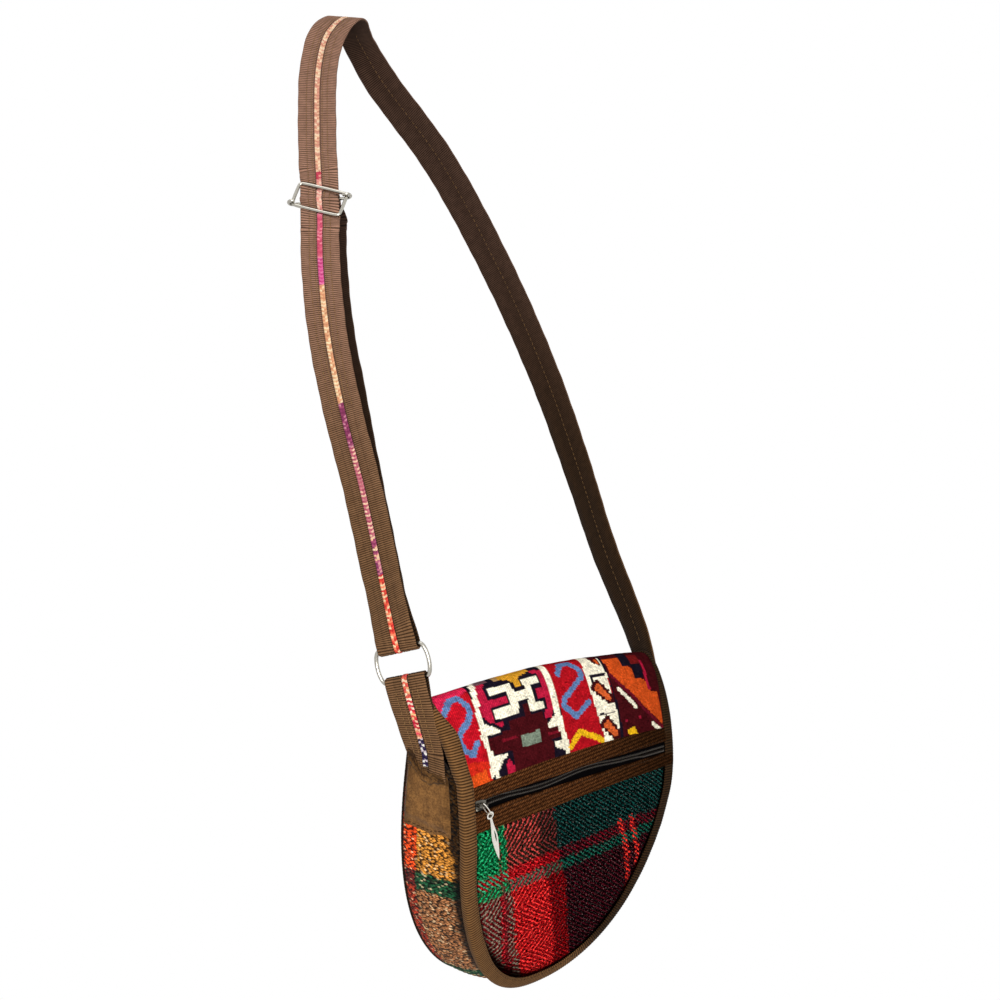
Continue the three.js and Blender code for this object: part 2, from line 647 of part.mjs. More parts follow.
const ringSide = facing(RING_AZ).addScaledVector(RING_UP, -facing(RING_AZ).dot(RING_UP)).normalize();
const ringAcross = RING_UP.clone().cross(ringSide).normalize();
const upperBar = RING.clone().addScaledVector(RING_UP, RING_RISE / 2);
const lowerBar = RING.clone().addScaledVector(RING_UP, -RING_RISE / 2);

// Webbing stations lying on the gusset under a patch, sewn end first.
function sewnEnd(side) {
  return spread(TAB_END_Z, GUSSET_TOP + 6, 6).map((z) => {
    const q = gussetQ(z, side);
    const p = gussetPoint(q, TAB_S, WEB_ON);
    return { p, side: p.clone().sub(gussetPoint(q, TAB_S, WEB_ON - 1)).normalize() };
  });
}

// Smooth stations through control stations.
function smooth(controls, count) {
  const path = new THREE.CatmullRomCurve3(controls.map(({ p }) => p));
  const sides = new THREE.CatmullRomCurve3(controls.map(({ side }) => side));
  return spread(0, 1, count).map((u) => {
    const t = path.getUtoTmapping(u);
    const p = path.getPoint(t);
    return { p, side: sides.getPoint(t).normalize() };
  });
}

// Tab: up from under the left patch, through the ring, and folded back behind itself.
function tabStations() {
  const end = { p: lowerBar.clone().addScaledVector(ringSide, FOLD_WEB), side: ringSide };
  const lead = { p: end.p.clone().addScaledVector(RING_UP, -9), side: ringSide };
  const sewn = sewnEnd(-1);
  const front = [...sewn, ...smooth([sewn[5], lead, end], 13).slice(1)];
  const back = [...front].reverse().slice(1).map(({ p, side }) => {
    const down = p.distanceTo(end.p);
    const gap = lerp(2 * FOLD_WEB, LAYER, Math.min(1, down / 14));
    return { down, p: p.clone().addScaledVector(side, -gap), side: side.clone().negate() };
  });
  return [...front, ...turn(lowerBar, ringSide, RING_UP, 7), ...back.filter(({ down }) => down < TAIL)];
}

// Stations of the strap's outer layer, from the right gusset to the ring.
function outerRoute(count) {
  const place = ([x, y, z, az, tilt]) => ({ p: vec(x, y, z), side: facing(az, tilt) });
  const top = { p: SHOULDER.clone().add(vec(0, 0, WEB_T / 2)), side: vec(0, 0, 1) };
  const end = { p: upperBar.clone().addScaledVector(ringSide, FOLD_WEB), side: ringSide };
  const lead = { p: end.p.clone().addScaledVector(RING_UP, 10), side: ringSide };
  const sewn = sewnEnd(1);
  const front = [...ROUTE_CHEST, ROUTE_SLIDE, ...ROUTE_FRONT].map(place);
  const free = [sewn[5], ...ROUTE_BACK.map(place), top, ...front, lead, end];
  return [...sewn, ...smooth(free, count).slice(1)];
}

// Frame of the wire slide: where it sits, up the strap, out from it and across it.
const slideFrame = (() => {
  const [x, y, z, az] = ROUTE_SLIDE;
  const next = ROUTE_FRONT[0];
  const before = ROUTE_CHEST[ROUTE_CHEST.length - 1];
  const up = vec(before[0] - next[0], before[1] - next[1], before[2] - next[2]).normalize();
  const out = facing(az).addScaledVector(up, -facing(az).dot(up)).normalize();
  return { at: vec(x, y, z), up, out, across: up.clone().cross(out) };
})();

const onSlide = (across, up, out) =>
  slideFrame.at.clone().addScaledVector(slideFrame.across, across)
    .addScaledVector(slideFrame.up, up).addScaledVector(slideFrame.out, out);

const BAR_UP = SLIDE_H / 2 / Math.cos(rad(SLIDE_TURN)); // frame bars above and below the slide bar

// How far the webbing is pushed out at the slide: under both bars of the frame, over the slide bar.
function weave(up, across) {
  const hump = (d, half) => (Math.abs(d) < half ? Math.cos((Math.PI * d) / (2 * half)) ** 2 : 0);
  const slope = across * Math.tan(rad(SLIDE_TURN));
  const bars = hump(up + slope - BAR_UP, 4) + hump(up + slope + BAR_UP, 4);
  return BUMP * hump(up, 3.6) - DIP * bars;
}

// Slant of the webbing's rows at the slide: level at the slide bar, along the frame at its bars.
function slant(up) {
  const far = Math.abs(up);
  const part = far < BAR_UP ? far / BAR_UP : Math.max(0, (24 - far) / (24 - BAR_UP));
  return Math.tan(rad(SLIDE_TURN)) * part;
}

function strapStations() {
  const route = outerRoute(78);
  const nearSlide = (p) => p.distanceTo(slideFrame.at) < 26;
  const far = (list) => list.filter(({ p }) => !nearSlide(p));
  const first = route.findIndex(({ p }) => nearSlide(p));
  const over = spread(24, -24, 25).map((up) => ({
    p: onSlide(0, up, 0), side: slideFrame.out, slant: slant(up), push: (w) => weave(up - slant(up) * w, w),
  }));
  const above = far(route.slice(0, first));
  const below = far(route.slice(first));
  const end = route[route.length - 1].p;
  const under = [...below].reverse().slice(1).map(({ p, side }) => {
    const gap = lerp(2 * FOLD_WEB, LAYER, Math.min(1, p.distanceTo(end) / 30));
    return { p: p.clone().addScaledVector(side, -gap), side: side.clone().negate() };
  });
  const inward = slideFrame.out.clone().negate();
  const rise = spread(-24, 0, 13).map((up) => ({
    p: onSlide(0, up, -LAYER), side: inward, slant: -slant(up), push: (w) => -weave(up - slant(up) * w, w),
  }));
  const wrap = spread(0, Math.PI, 7).slice(1).map((a) => ({
    p: onSlide(0, 2.4 * Math.sin(a), -BAR_IN + 2.4 * Math.cos(a)),
    side: slideFrame.out.clone().multiplyScalar(-Math.cos(a)).addScaledVector(slideFrame.up, -Math.sin(a)),
  }));
  const tail = [[-3, -6.2], [-6, -7.3], [-11, -7.4], [-16, -7.3], [-24, -5.2]]
    .map(([up, out]) => ({ p: onSlide(0, up, out), side: slideFrame.out }));
  const fold = turn(upperBar, ringSide, RING_UP.clone().negate(), 7);
  const main = [...above, ...over, ...below, ...fold, ...under];
  return { main, end: [...rise, ...wrap, ...tail] };
}

function strap() {
  const { main, end } = strapStations();
  return ribbon([...main, ...end], WEB_OUTLINE);
}

// Variegated braid in the webbing's groove, clear of the sewn ends.
function strapBraid() {
  const { main } = strapStations();
  const clear = main.filter(({ p }) => p.z > GUSSET_TOP + 3);
  return ribbon(clear.slice(0, -2), BRAID_OUTLINE);
}

function tabBraid() {
  const clear = tabStations().filter(({ p }) => p.z > GUSSET_TOP + 2);
  return ribbon(clear.slice(0, -1), BRAID_OUTLINE);
}

// Oval ring: two straight bars joined by round ends.
function tabRing() {
  const half = RING_BAR / 2;
  const ends = spread(-90, 90, 9).map((a) => [half + RING_END * Math.cos(rad(a)), Math.sin(rad(a))]);
  const loop = [...ends, ...ends.map(([w, v]) => [-w, -v])];
  const points = loop.map(([w, v]) =>
    RING.clone().addScaledVector(ringAcross, w).addScaledVector(RING_UP, (v * RING_RISE) / 2));
  return wireRing(new THREE.CatmullRomCurve3(points, true, 'centripetal'), RING_R, 40, 6);
}

// Wire frame of the slide: a rounded rectangle, askew on the strap.
function slideFrameWire() {
  const corner = 2.4;
  const turned = rad(-SLIDE_TURN);
  const points = [];
  for (const [sx, sy, from] of [[1, 1, 0], [-1, 1, 90], [-1, -1, 180], [1, -1, 270]]) {
    for (const a of [0, 30, 60, 90]) {
      const w = sx * (SLIDE_W / 2 - corner) + corner * Math.cos(rad(from + a));
      const v = sy * (SLIDE_H / 2 - corner) + corner * Math.sin(rad(from + a));
      points.push(onSlide(w * Math.cos(turned) - v * Math.sin(turned), w * Math.sin(turned) + v * Math.cos(turned), 0));
    }
  }
  return wireRing(new THREE.CatmullRomCurve3(points, true, 'centripetal'), SLIDE_R, 40, 6);
}

// Bar of the slide, its ends curled round the frame's side wires.
function slideBar() {
  const reach = SLIDE_W / 2 / Math.cos(rad(SLIDE_TURN));
  const curl = spread(-90, 140, 9).map((a) => [reach + BAR_IN * Math.cos(rad(a)), BAR_IN * Math.sin(rad(a))]);
  const left = curl.map(([w, n]) => [-w, n]).reverse();
  const points = [...left, [-reach / 2, -BAR_IN], [reach / 2, -BAR_IN], ...curl].map(([w, n]) => onSlide(w, 0, n));
  return wire(new THREE.CatmullRomCurve3(points, false, 'centripetal'), BAR_R, 40, 6);
}

const bag = new THREE.Group();

function add(name, geometry, color, metalness = 0) {
  const material = new THREE.MeshStandardMaterial({ color, metalness, roughness: metalness ? 0.3 : 0.9 });
  const mesh = new THREE.Mesh(geometry.translate(-SHOULDER.x, -SHOULDER.y, -SHOULDER.z), material);
  mesh.name = name;
  bag.add(mesh);
}

add('back_panel', backPanel(), PAINT.brown);
add('front_panel', frontPanel(), PAINT.brown);
add('gusset', gusset(), PAINT.orange);
add('back_binding', backBinding(), PAINT.black);
add('lining', lining(), PAINT.lining);
add('left_patch', patch(-1), PAINT.suede);
add('right_patch', patch(1), PAINT.suede);
add('flap_backing', flapBacking(), PAINT.brown);
add('kilim_panel', kilimPanel(), PAINT.red);
add('zip_strip_upper', upperStrip(), PAINT.brown);
add('zip_strip_lower', lowerStrip(), PAINT.brown);
add('zip_tape_upper', zipTape(1), PAINT.black);
add('zip_tape_lower', zipTape(-1), PAINT.black);
add('zip_coil_upper', zipCoil(1), PAINT.black);
add('zip_coil_lower', zipCoil(-1), PAINT.black);
add('plaid_panel', plaidPanel(), PAINT.plaid);
add('flap_binding', flapBinding(), PAINT.brown);
add('zip_slider', zipSlider(), PAINT.steel, 1);
add('pull_link', pullLink(), PAINT.steel, 1);
add('pull_drop', pullDrop(), PAINT.steel, 1);
add('strap_tab', ribbon(tabStations(), WEB_OUTLINE), PAINT.brown);
add('tab_braid', tabBraid(), PAINT.braid);
add('tab_ring', tabRing(), PAINT.steel, 1);
add('strap', strap(), PAINT.brown);
add('strap_braid', strapBraid(), PAINT.braid);
add('slide_frame', slideFrameWire(), PAINT.steel, 1);
add('slide_bar', slideBar(), PAINT.steel, 1);

export default bag;
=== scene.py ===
"""Kilim crossbody bag: woven cloth, webbing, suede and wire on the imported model.

Lengths are millimetres in the bag's own frame, whose zero is the middle of the flap's lowest edge with
+X to the viewer's right, +Y to the back and +Z up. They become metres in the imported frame, whose zero
is the strap's shoulder point, where a mesh is made.
"""

import logging
import math
from dataclasses import dataclass, replace
from enum import Enum
from functools import partial
from typing import Any, Callable, Iterable, Sequence

import bpy
import numpy as np
from mathutils import Matrix, Vector


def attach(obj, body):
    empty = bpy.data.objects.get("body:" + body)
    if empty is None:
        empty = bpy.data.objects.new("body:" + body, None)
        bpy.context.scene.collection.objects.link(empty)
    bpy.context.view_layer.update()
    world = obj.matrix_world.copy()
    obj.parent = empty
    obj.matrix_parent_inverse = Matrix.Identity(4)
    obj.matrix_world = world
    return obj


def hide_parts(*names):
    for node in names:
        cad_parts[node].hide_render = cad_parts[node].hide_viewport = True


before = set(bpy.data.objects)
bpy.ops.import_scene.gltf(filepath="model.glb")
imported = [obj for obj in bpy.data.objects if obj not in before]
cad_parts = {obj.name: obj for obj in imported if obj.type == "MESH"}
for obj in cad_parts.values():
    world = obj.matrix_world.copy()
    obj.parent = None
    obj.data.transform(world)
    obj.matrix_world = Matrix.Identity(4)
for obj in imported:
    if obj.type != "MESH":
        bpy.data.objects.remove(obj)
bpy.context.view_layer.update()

log = logging.getLogger("bag")
Array = np.ndarray
Faces = list[list[int]]
Solid = tuple[Array, Faces]
Pair = tuple[Array, Array]
Triple = tuple[float, float, float]
Piece = bpy.types.Object
Socket = bpy.types.NodeSocket
Adder = Callable[..., Socket]
Inputs = dict[int | str, Any] | tuple[Any, ...]

WAVES = 6  # sines in a wobble
# Flap outline and side profile
SHOULDER = np.array((-22.0, 353.0, 683.0))
FLAP_HALF, SIDE_Z, ROUND = 102.5, 177.0, 2.3
CURL, CURL_RISE, LEAN_Z = 10.0, 80.0, 130.0
LEAN_PULL, RIDGE_PULL = 38.0, 16.0  # how far the leaning part's curve is drawn out at its two ends
RIDGE_Y, RIDGE_Z, FOLD_R, SEAM_Z, RIDGE_CROWN = 44.0, 233.5, 9.0, 220.0, 7.0
PANEL_T, BACKING_IN, STACK, LIP, INSET = 1.6, 3.9, 4.9, 9.5, 1.3
CLOTH_HALF = FLAP_HALF - INSET
# The upper left corner spreads towards the tab: run along the profile, and how far the edge moves out.
FLARE = ((182, 191, 203, 218, 227, 236, 250), (0, 2.6, 4.6, 6.8, 8.4, 9.4, 9.6))
FLARE_FROM = 30.0
# The lower right is cut a little flatter: run, and how far it moves in.
TRIM = ((0, 30, 60, 85, 105), (6, 6, 5, 2.5, 0))
TRIM_ACROSS = (-60, 40)
# Zip
ZIP_Z, WINDOW, STRIP_UP, STRIP_LOW, ZIP_HALF = 165.6, 7.0, 11.4, 13.0, 95.0
# How a zip strip's folded edges roll: part of its width, and rise.
STRIP_ROLL = ((0, 0.02, 0.05, 0.1, 0.9, 0.95, 0.98, 1), (-0.9, -0.1, 0.3, 0.45, 0.45, 0.3, -0.1, -0.9))
# Body
SETBACK, CLOTH_T, GUSSET_T, SWELL = 7.6, 1.6, 2.0, 2.5
FRONT_HALF, FRONT_LOW, BACK_HALF, BACK_LOW = 101.0, 2.0, 113.6, -11.3
BACK_Y, GUSSET_TOP, PATCH_LOW = 53.0, 188.0, 137.0
ROUND_PART = 0.94  # part of the gusset's half length that runs round the bottom
PATCH_S = (0.13, 0.98)  # the patch's front and back edge across the gusset
# Webbing and wire
WEB_W, WEB_T, WEB_ON, TAB_END_Z = 30.0, 1.8, 1.8, 150.0
SEWN_AT = {-1: 0.56, 1: 0.5}  # where the webbing is sewn across the gusset, left and right
# Painted shade along the webbing's sewn lines: distance from the middle, and brightness.
SEWN_SHADE = ((2.5, 2.8, 3.4, 4.2, 5.0, 7.3, 8.1, 8.9), (0.75, 0.75, 1, 0.78, 1, 1, 0.78, 1))
RING = np.array((-119.8, 61.0, 247.8))
RING_AZ, RING_RISE, RING_BAR, RING_END, RING_R = -62.0, 21.4, 31.0, 4.0, 1.4
FOLD_WEB, TAIL, LAYER = 2.7, 26.0, 2.1
SLIDE_W, SLIDE_H, SLIDE_TURN, SLIDE_R, BAR_R, BAR_IN = 39.0, 18.6, 22.0, 1.3, 1.2, 2.85
SLIDE_SLOPE = math.tan(math.radians(SLIDE_TURN))
FRAME_UP = SLIDE_H / 2 / math.cos(math.radians(SLIDE_TURN))  # height of the frame's bars in the middle
SLIDE_REACH, WRAP_R = 24.0, 2.4  # how far the slide bends the webbing, and the turn round its bar
INNER_OUT = 5.0  # how far the strap's inner layer shows beside the outer one below the slide
DIP, BUMP = 2.9, 1.65
# The strap's end behind the slide, up and out from its middle.
STRAP_TAIL = ((-0.5, -5.25), (-3, -6.2), (-6, -7.3), (-11, -7.4), (-16, -7.3), (-24, -5.2))
# The strap's way: place, then the azimuth and tilt of its outer side.
ROUTE_BACK = (
    (111.5, 62, 230, 75, 0), (114.2, 116, 290, 88, 0), (128, 170, 342, 100, 0), (134, 230, 410, 110, 0),
    (122, 295, 495, 121, 0), (84, 350, 585, 131, 4), (36, 385, 648, 137, 20), (8, 380, 673, 138, 55),
)
ROUTE_CHEST = ((-43, 344, 667, -42, 38), (-56, 332, 640, -42, 12), (-70, 304, 590, -42, 2))
ROUTE_SLIDE = (-81, 274, 537, -44, 0)
ROUTE_FRONT = (
    (-91, 248, 488, -46, 0), (-97.6, 219.7, 440, -49, 0), (-102.9, 183, 391, -52, 0),
    (-107.4, 143, 344, -56, 0), (-114.7, 102, 296, -60, 0),
)


def ease(value: Array, low: float, high: float) -> Array:
    """Eases from 0 at low to 1 at high."""
    k = np.clip((np.asarray(value, float) - low) / (high - low), 0, 1)
    return k * k * (3 - 2 * k)


def unit(vectors: Array) -> Array:
    """The same directions at length 1."""
    vectors = np.asarray(vectors, float)
    return vectors / np.linalg.norm(vectors, axis=-1, keepdims=True)


def distance_along(path: Array) -> Array:
    """Distance of each point of a path from its start."""
    return np.concatenate(([0], np.cumsum(np.linalg.norm(np.diff(path, axis=0), axis=1))))


def values_at(at: Array, far: Array, values: Array) -> Array:
    """Values at new distances along a path, from those at its points."""
    if values.ndim == 1:
        return np.interp(at, far, values)
    return np.stack([np.interp(at, far, column) for column in values.T], -1)


def in_turn(count: int, even: float, odd: float) -> Array:
    """Two values by turns, as along the ribs of a tape."""
    return np.where(np.arange(count) % 2 == 0, even, odd)


def places(*coordinates: Array | float) -> Array:
    """Coordinates put together as places."""
    return np.stack(np.broadcast_arrays(*coordinates), -1)


def spread(first: Array, second: Array) -> Array:
    """Places on the cloth at a bar's points, from two coordinates that broadcast over its loops."""
    return places(first, second).reshape(-1, 2)


def packed(points: Array) -> Array:
    """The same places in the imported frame, in metres."""
    return (np.asarray(points, float) - SHOULDER) / 1000


def facing(azimuth: float, tilt: float = 0.0) -> Array:
    """Direction that looks towards an azimuth, tilted up, both in degrees."""
    a, t = math.radians(azimuth), math.radians(tilt)
    return np.array((math.sin(a) * math.cos(t), -math.cos(a) * math.cos(t), math.sin(t)))


def wobble(points: Array, size: float, seed: int) -> Array:
    """Gentle seeded unevenness, from -1 to 1.

    Args:
        points: places, with the coordinates last.
        size: usual length of a wave, in the same unit.
        seed: picks the waves.

    Returns:
        One value for each place.
    """
    rng = np.random.default_rng(seed)
    total = np.zeros(points.shape[:-1])
    for _ in range(WAVES):
        way = unit(rng.normal(size=points.shape[-1])) * 2 * math.pi / (size * rng.uniform(0.6, 1.6))
        total += np.sin(points @ way + rng.uniform(0, 2 * math.pi))
    return total / WAVES


def profile_table() -> tuple[Array, Array, Array]:
    """Side profile of the flap.

    Returns:
        Run along it, depth and height.
    """
    k = np.linspace(0, 1, 400)[:, None]
    curl = (1 - k) ** 2 * (CURL, 0) + 2 * k * (1 - k) * (0, CURL_RISE / 2) + k**2 * (0, CURL_RISE)
    lean = ((1 - k) ** 3 * (0, LEAN_Z) + 3 * k * (1 - k) ** 2 * (0, LEAN_Z + LEAN_PULL)
            + 3 * k**2 * (1 - k) * (RIDGE_Y - RIDGE_PULL, RIDGE_Z) + k**3 * (RIDGE_Y, RIDGE_Z))
    a = math.pi / 2 * (1 - k)
    fold = np.hstack((RIDGE_Y + FOLD_R * np.cos(a), RIDGE_Z - FOLD_R + FOLD_R * np.sin(a)))
    line = np.vstack((curl, lean, fold[1:], [[RIDGE_Y + FOLD_R, SEAM_Z]]))
    return distance_along(line), line[:, 0], line[:, 1]


RUN, RUN_Y, RUN_Z = profile_table()
PROFILE_L = float(RUN[-1])
TOP_INDEX = int(np.argmax(RUN_Z))
RUN_STEPS = RUN + np.arange(len(RUN)) * 1e-9  # no two are equal, so that slopes stay finite
RUN_TANGENT = unit(np.stack([np.gradient(values, RUN_STEPS) for values in (RUN_Y, RUN_Z)], -1))


def run_at(z: Array) -> Array:
    """Run along the profile at which the front reaches a height."""
    return np.interp(z, RUN_Z[: TOP_INDEX + 1], RUN[: TOP_INDEX + 1])


RIDGE_RUN = float(run_at(RIDGE_Z - 0.05))
ZIP_RUN = float(run_at(ZIP_Z))
KILIM_RUN = ZIP_RUN + WINDOW / 2 + STRIP_UP + 0.3
LOW_EDGE = ZIP_RUN - WINDOW / 2 - STRIP_LOW


def flap_point(x: Array, run: Array, out: Array) -> Array:
    """A point of the flap.

    Args:
        x: place across.
        run: place along the profile, from the bottom edge.
        out: distance out from its face.

    Returns:
        Places in the bag's frame.
    """
    x, run, out = np.broadcast_arrays(np.asarray(x, float), run, out)
    run = np.clip(run, 0, PROFILE_L)
    y, z, ty, tz = (np.interp(run, RUN, values) for values in (RUN_Y, RUN_Z, *RUN_TANGENT.T))
    crown = RIDGE_CROWN * (x / FLAP_HALF) ** 2 * ease(run, KILIM_RUN, RIDGE_RUN)
    flare = np.interp(run, *FLARE) * np.clip((-x - FLARE_FROM) / (FLAP_HALF - FLARE_FROM), 0, 1) ** 1.5
    trim = np.interp(run, *TRIM) * ease(x, *TRIM_ACROSS)
    return places(x - flare - trim, y - tz * out, z + ty * out - crown)


def round_at(angle: Array, half: float, low: float) -> Pair:
    """Across and height of a round-bottomed outline: angle 0 is the side, 90 the lowest point."""
    a = np.radians(np.clip(angle, 0, 90))
    return half * np.cos(a) ** (2 / ROUND), SIDE_Z - (SIDE_Z - low) * np.sin(a) ** (2 / ROUND)


def half_at(z: Array, half: float, low: float) -> Array:
    """Half width of a round-bottomed outline at a height."""
    q = np.clip((SIDE_Z - np.asarray(z, float)) / (SIDE_Z - low), 0, 1)
    return half * (1 - q**ROUND) ** (1 / ROUND)


def gusset_base(q: Array, s: Array) -> Array:
    """Gusset surface before it swells.

    Args:
        q: place round the bag; see gusset_point.
        s: place from the front rim to the back rim.

    Returns:
        Places in the bag's frame.
    """
    m, side = np.minimum(np.abs(q), 1.2), np.where(q < 0, -1.0, 1.0)

    def rim(half: float, low: float) -> Pair:
        """Outline of one rim."""
        x, z = round_at(90 * (1 - m / ROUND_PART), half, low)
        straight = SIDE_Z + (GUSSET_TOP - SIDE_Z) * (m - ROUND_PART) / (1 - ROUND_PART)
        return np.where(m < ROUND_PART, x, half), np.where(m < ROUND_PART, z, straight)

    fx, fz = rim(FRONT_HALF, FRONT_LOW)
    bx, bz = rim(BACK_HALF, BACK_LOW)
    front = flap_point(side * fx, run_at(fz), -SETBACK + 0.2)
    back = places(side * bx, BACK_Y - 0.4, bz)
    return front + (back - front) * np.asarray(s, float)[..., None]


def gusset_point(q: Array, s: Array, out: Array) -> Array:
    """A point of the gusset.

    Args:
        q: from the left top (-1) round the bottom (0) to the right top (1).
        s: from the front rim (0) to the back rim (1).
        out: distance out from its face.

    Returns:
        Places in the bag's frame.
    """
    q, s, out = np.broadcast_arrays(np.asarray(q, float), s, out)
    step = 0.01
    across = gusset_base(q, s + step) - gusset_base(q, s - step)
    along = gusset_base(q + step, s) - gusset_base(q - step, s)
    p = gusset_base(q, s)
    swell = (1 - ease(p[..., 2], PATCH_LOW - 40, PATCH_LOW)) * SWELL * 4 * s * (1 - s)
    return p + unit(np.cross(across, along)) * (out + swell)[..., None]


def gusset_q(z: Array, side: float) -> Array:
    """Gusset position for a height on one side.

    Args:
        z: height.
        side: -1 on the left, 1 on the right.

    Returns:
        Place round the bag, as gusset_point takes it.
    """
    z = np.asarray(z, float)
    low = (FRONT_LOW + BACK_LOW) / 2
    angle = np.arcsin(np.clip((SIDE_Z - z) / (SIDE_Z - low), 0, 1) ** (ROUND / 2)) / (math.pi / 2)
    straight = ROUND_PART + (1 - ROUND_PART) * (z - SIDE_Z) / (GUSSET_TOP - SIDE_Z)
    return side * np.where(z > SIDE_Z, straight, ROUND_PART * (1 - angle))


def spline(points: Array, t: Array) -> Array:
    """Centripetal spline through points.

    Args:
        points: what it goes through.
        t: parameters from 0 to 1.

    Returns:
        The value at each parameter.
    """
    points = np.asarray(points, float)
    last = len(points) - 1
    ends = np.vstack((2 * points[0] - points[1], points, 2 * points[-1] - points[-2]))
    i = np.minimum((np.asarray(t) * last).astype(int), last - 1)
    w = (np.asarray(t) * last - i)[:, None]
    p0, p1, p2, p3 = (ends[i + k] for k in range(4))
    d0, d1, d2 = (np.maximum(np.linalg.norm(b - a, axis=1, keepdims=True) ** 0.5, 1e-4)
                  for a, b in ((p0, p1), (p1, p2), (p2, p3)))
    m1 = ((p1 - p0) / d0 - (p2 - p0) / (d0 + d1) + (p2 - p1) / d1) * d1
    m2 = ((p2 - p1) / d1 - (p3 - p1) / (d1 + d2) + (p3 - p2) / d2) * d1
    return p1 + m1 * w + (3 * (p2 - p1) - 2 * m1 - m2) * w**2 + (2 * (p1 - p2) + m1 + m2) * w**3


# Meshes


def outward(verts: Array, faces: Faces) -> Faces:
    """Turns the faces of a closed body to look out.

    Args:
        verts: its places.
        faces: vertex numbers of each face, all turned one way.

    Returns:
        The faces, or all of them reversed.
    """
    first = np.array([f[:3] for f in faces])
    a, b, c = (verts[first[:, k]] for k in range(3))
    volume = np.einsum("ij,ij->i", a - verts.mean(0), np.cross(b, c)).sum()
    return [f[::-1] for f in faces] if volume < 0 else faces


def kept_lines(count: int, step: int) -> list[int]:
    """Numbers of the lines that a coarse grid keeps: every step-th one and the last."""
    return list(dict.fromkeys([*range(0, count, step), count - 1]))


def slab(outer: Array, inner: Array, step: int) -> Solid:
    """A closed sheet between a fine outer grid and an inner one that keeps every step-th line.

    Args:
        outer: grid of places, rows by columns.
        inner: the same grid at the other face.
        step: how many fine lines make a coarse one.

    Returns:
        Vertices and faces; the outer grid's vertices come first.
    """
    rows, cols = outer.shape[:2]
    ri, ci = kept_lines(rows, step), kept_lines(cols, step)
    o = np.arange(rows * cols).reshape(rows, cols)
    n = rows * cols + np.arange(len(ri) * len(ci)).reshape(len(ri), len(ci))
    quads = np.stack((o[:-1, :-1], o[1:, :-1], o[1:, 1:], o[:-1, 1:]), -1).reshape(-1, 4).tolist()
    quads += np.stack((n[:-1, :-1], n[:-1, 1:], n[1:, 1:], n[1:, :-1]), -1).reshape(-1, 4).tolist()
    for k, (a, b) in enumerate(zip(ci, ci[1:])):
        quads.append([*o[0, a: b + 1].tolist(), int(n[0, k + 1]), int(n[0, k])])
        quads.append([*o[-1, a: b + 1][::-1].tolist(), int(n[-1, k]), int(n[-1, k + 1])])
    for k, (a, b) in enumerate(zip(ri, ri[1:])):
        quads.append([*o[a: b + 1, 0][::-1].tolist(), int(n[k, 0]), int(n[k + 1, 0])])
        quads.append([*o[a: b + 1, -1].tolist(), int(n[k + 1, -1]), int(n[k, -1])])
    verts = np.vstack((outer.reshape(-1, 3), inner[np.ix_(ri, ci)].reshape(-1, 3)))
    face = np.cross(outer[1, 0] - outer[0, 0], outer[0, 1] - outer[0, 0])
    return verts, quads if face @ (outer[0, 0] - inner[0, 0]) > 0 else [q[::-1] for q in quads]


def grid_data(data: Array, step: int) -> Array:
    """Values at the vertices of a slab.

    Args:
        data: values on its fine grid.
        step: as slab takes it.

    Returns:
        Those of the fine grid, then those of the coarse one.
    """
    rows, cols = data.shape[:2]
    inner = data[np.ix_(kept_lines(rows, step), kept_lines(cols, step))]
    return np.vstack([part.reshape(part.shape[0] * part.shape[1], -1) for part in (data, inner)])


def grey(values: Array) -> Array:
    """One value for all three colours."""
    return np.repeat(values[..., None], 3, -1)


def bar(loops: Array) -> Solid:
    """A solid bar with flat ends.

    Args:
        loops: a row of closed loops of places.

    Returns:
        Vertices and faces.
    """
    count, m = loops.shape[:2]
    ids = np.arange(count * m).reshape(count, m)
    nxt = np.roll(ids, -1, axis=1)
    faces = np.stack((ids[:-1], nxt[:-1], nxt[1:], ids[1:]), -1).reshape(-1, 4).tolist()
    faces += [ids[0][::-1].tolist(), ids[-1].tolist()]
    verts = loops.reshape(-1, 3)
    return verts, outward(verts, faces)


def wire_loops(path: Array, radius: float, sides: int, up: Array) -> Array:
    """Round sections along a path.

    Args:
        path: its places.
        radius: radius of a section.
        sides: points of a section.
        up: direction that the sections keep to.

    Returns:
        Loops of places.
    """
    along = unit(np.gradient(path, axis=0))
    a = unit(np.cross(along, up))
    b = np.cross(a, along)
    turn = np.linspace(0, 2 * math.pi, sides, endpoint=False)[:, None]
    return path[:, None] + radius * (a[:, None] * np.cos(turn) + b[:, None] * np.sin(turn))


def joined(parts: Iterable[Solid]) -> Solid:
    """Several bodies as one.

    Args:
        parts: vertices and faces of each.

    Returns:
        Vertices and faces of all.
    """
    verts, faces, start = [], [], 0
    for v, f in parts:
        verts.append(v)
        faces += [[i + start for i in face] for face in f]
        start += len(v)
    return np.vstack(verts), faces


@dataclass(frozen=True)
class Stitch:
    """A sewn stitch: a short thread that dives into the cloth at both ends.

    The sizes are its length, the bare cloth after it, the thread's thickness and how far its middle
    stands out.
    """

    length: float
    gap: float
    thick: float
    lift: float

    def row(self, path: Array, tips: Array) -> Solid:
        """A row of stitches.

        Args:
            path: line on the cloth's face.
            tips: a place straight out from each point of the line.

        Returns:
            Vertices and faces of the whole row.
        """
        far = distance_along(path)
        low, shoulder = -0.6 * self.thick, self.lift * 0.7
        rise = np.array((low, shoulder, self.lift, shoulder, low))[:, None]
        parts = []
        for start in np.arange(self.gap / 2, far[-1] - self.length, self.length + self.gap):
            at = start + np.linspace(0, self.length, 5)
            p, n = values_at(at, far, path), unit(values_at(at, far, tips - path))
            parts.append(bar(wire_loops(p + n * rise, self.thick / 2, 5, n[2])))
        return joined(parts)


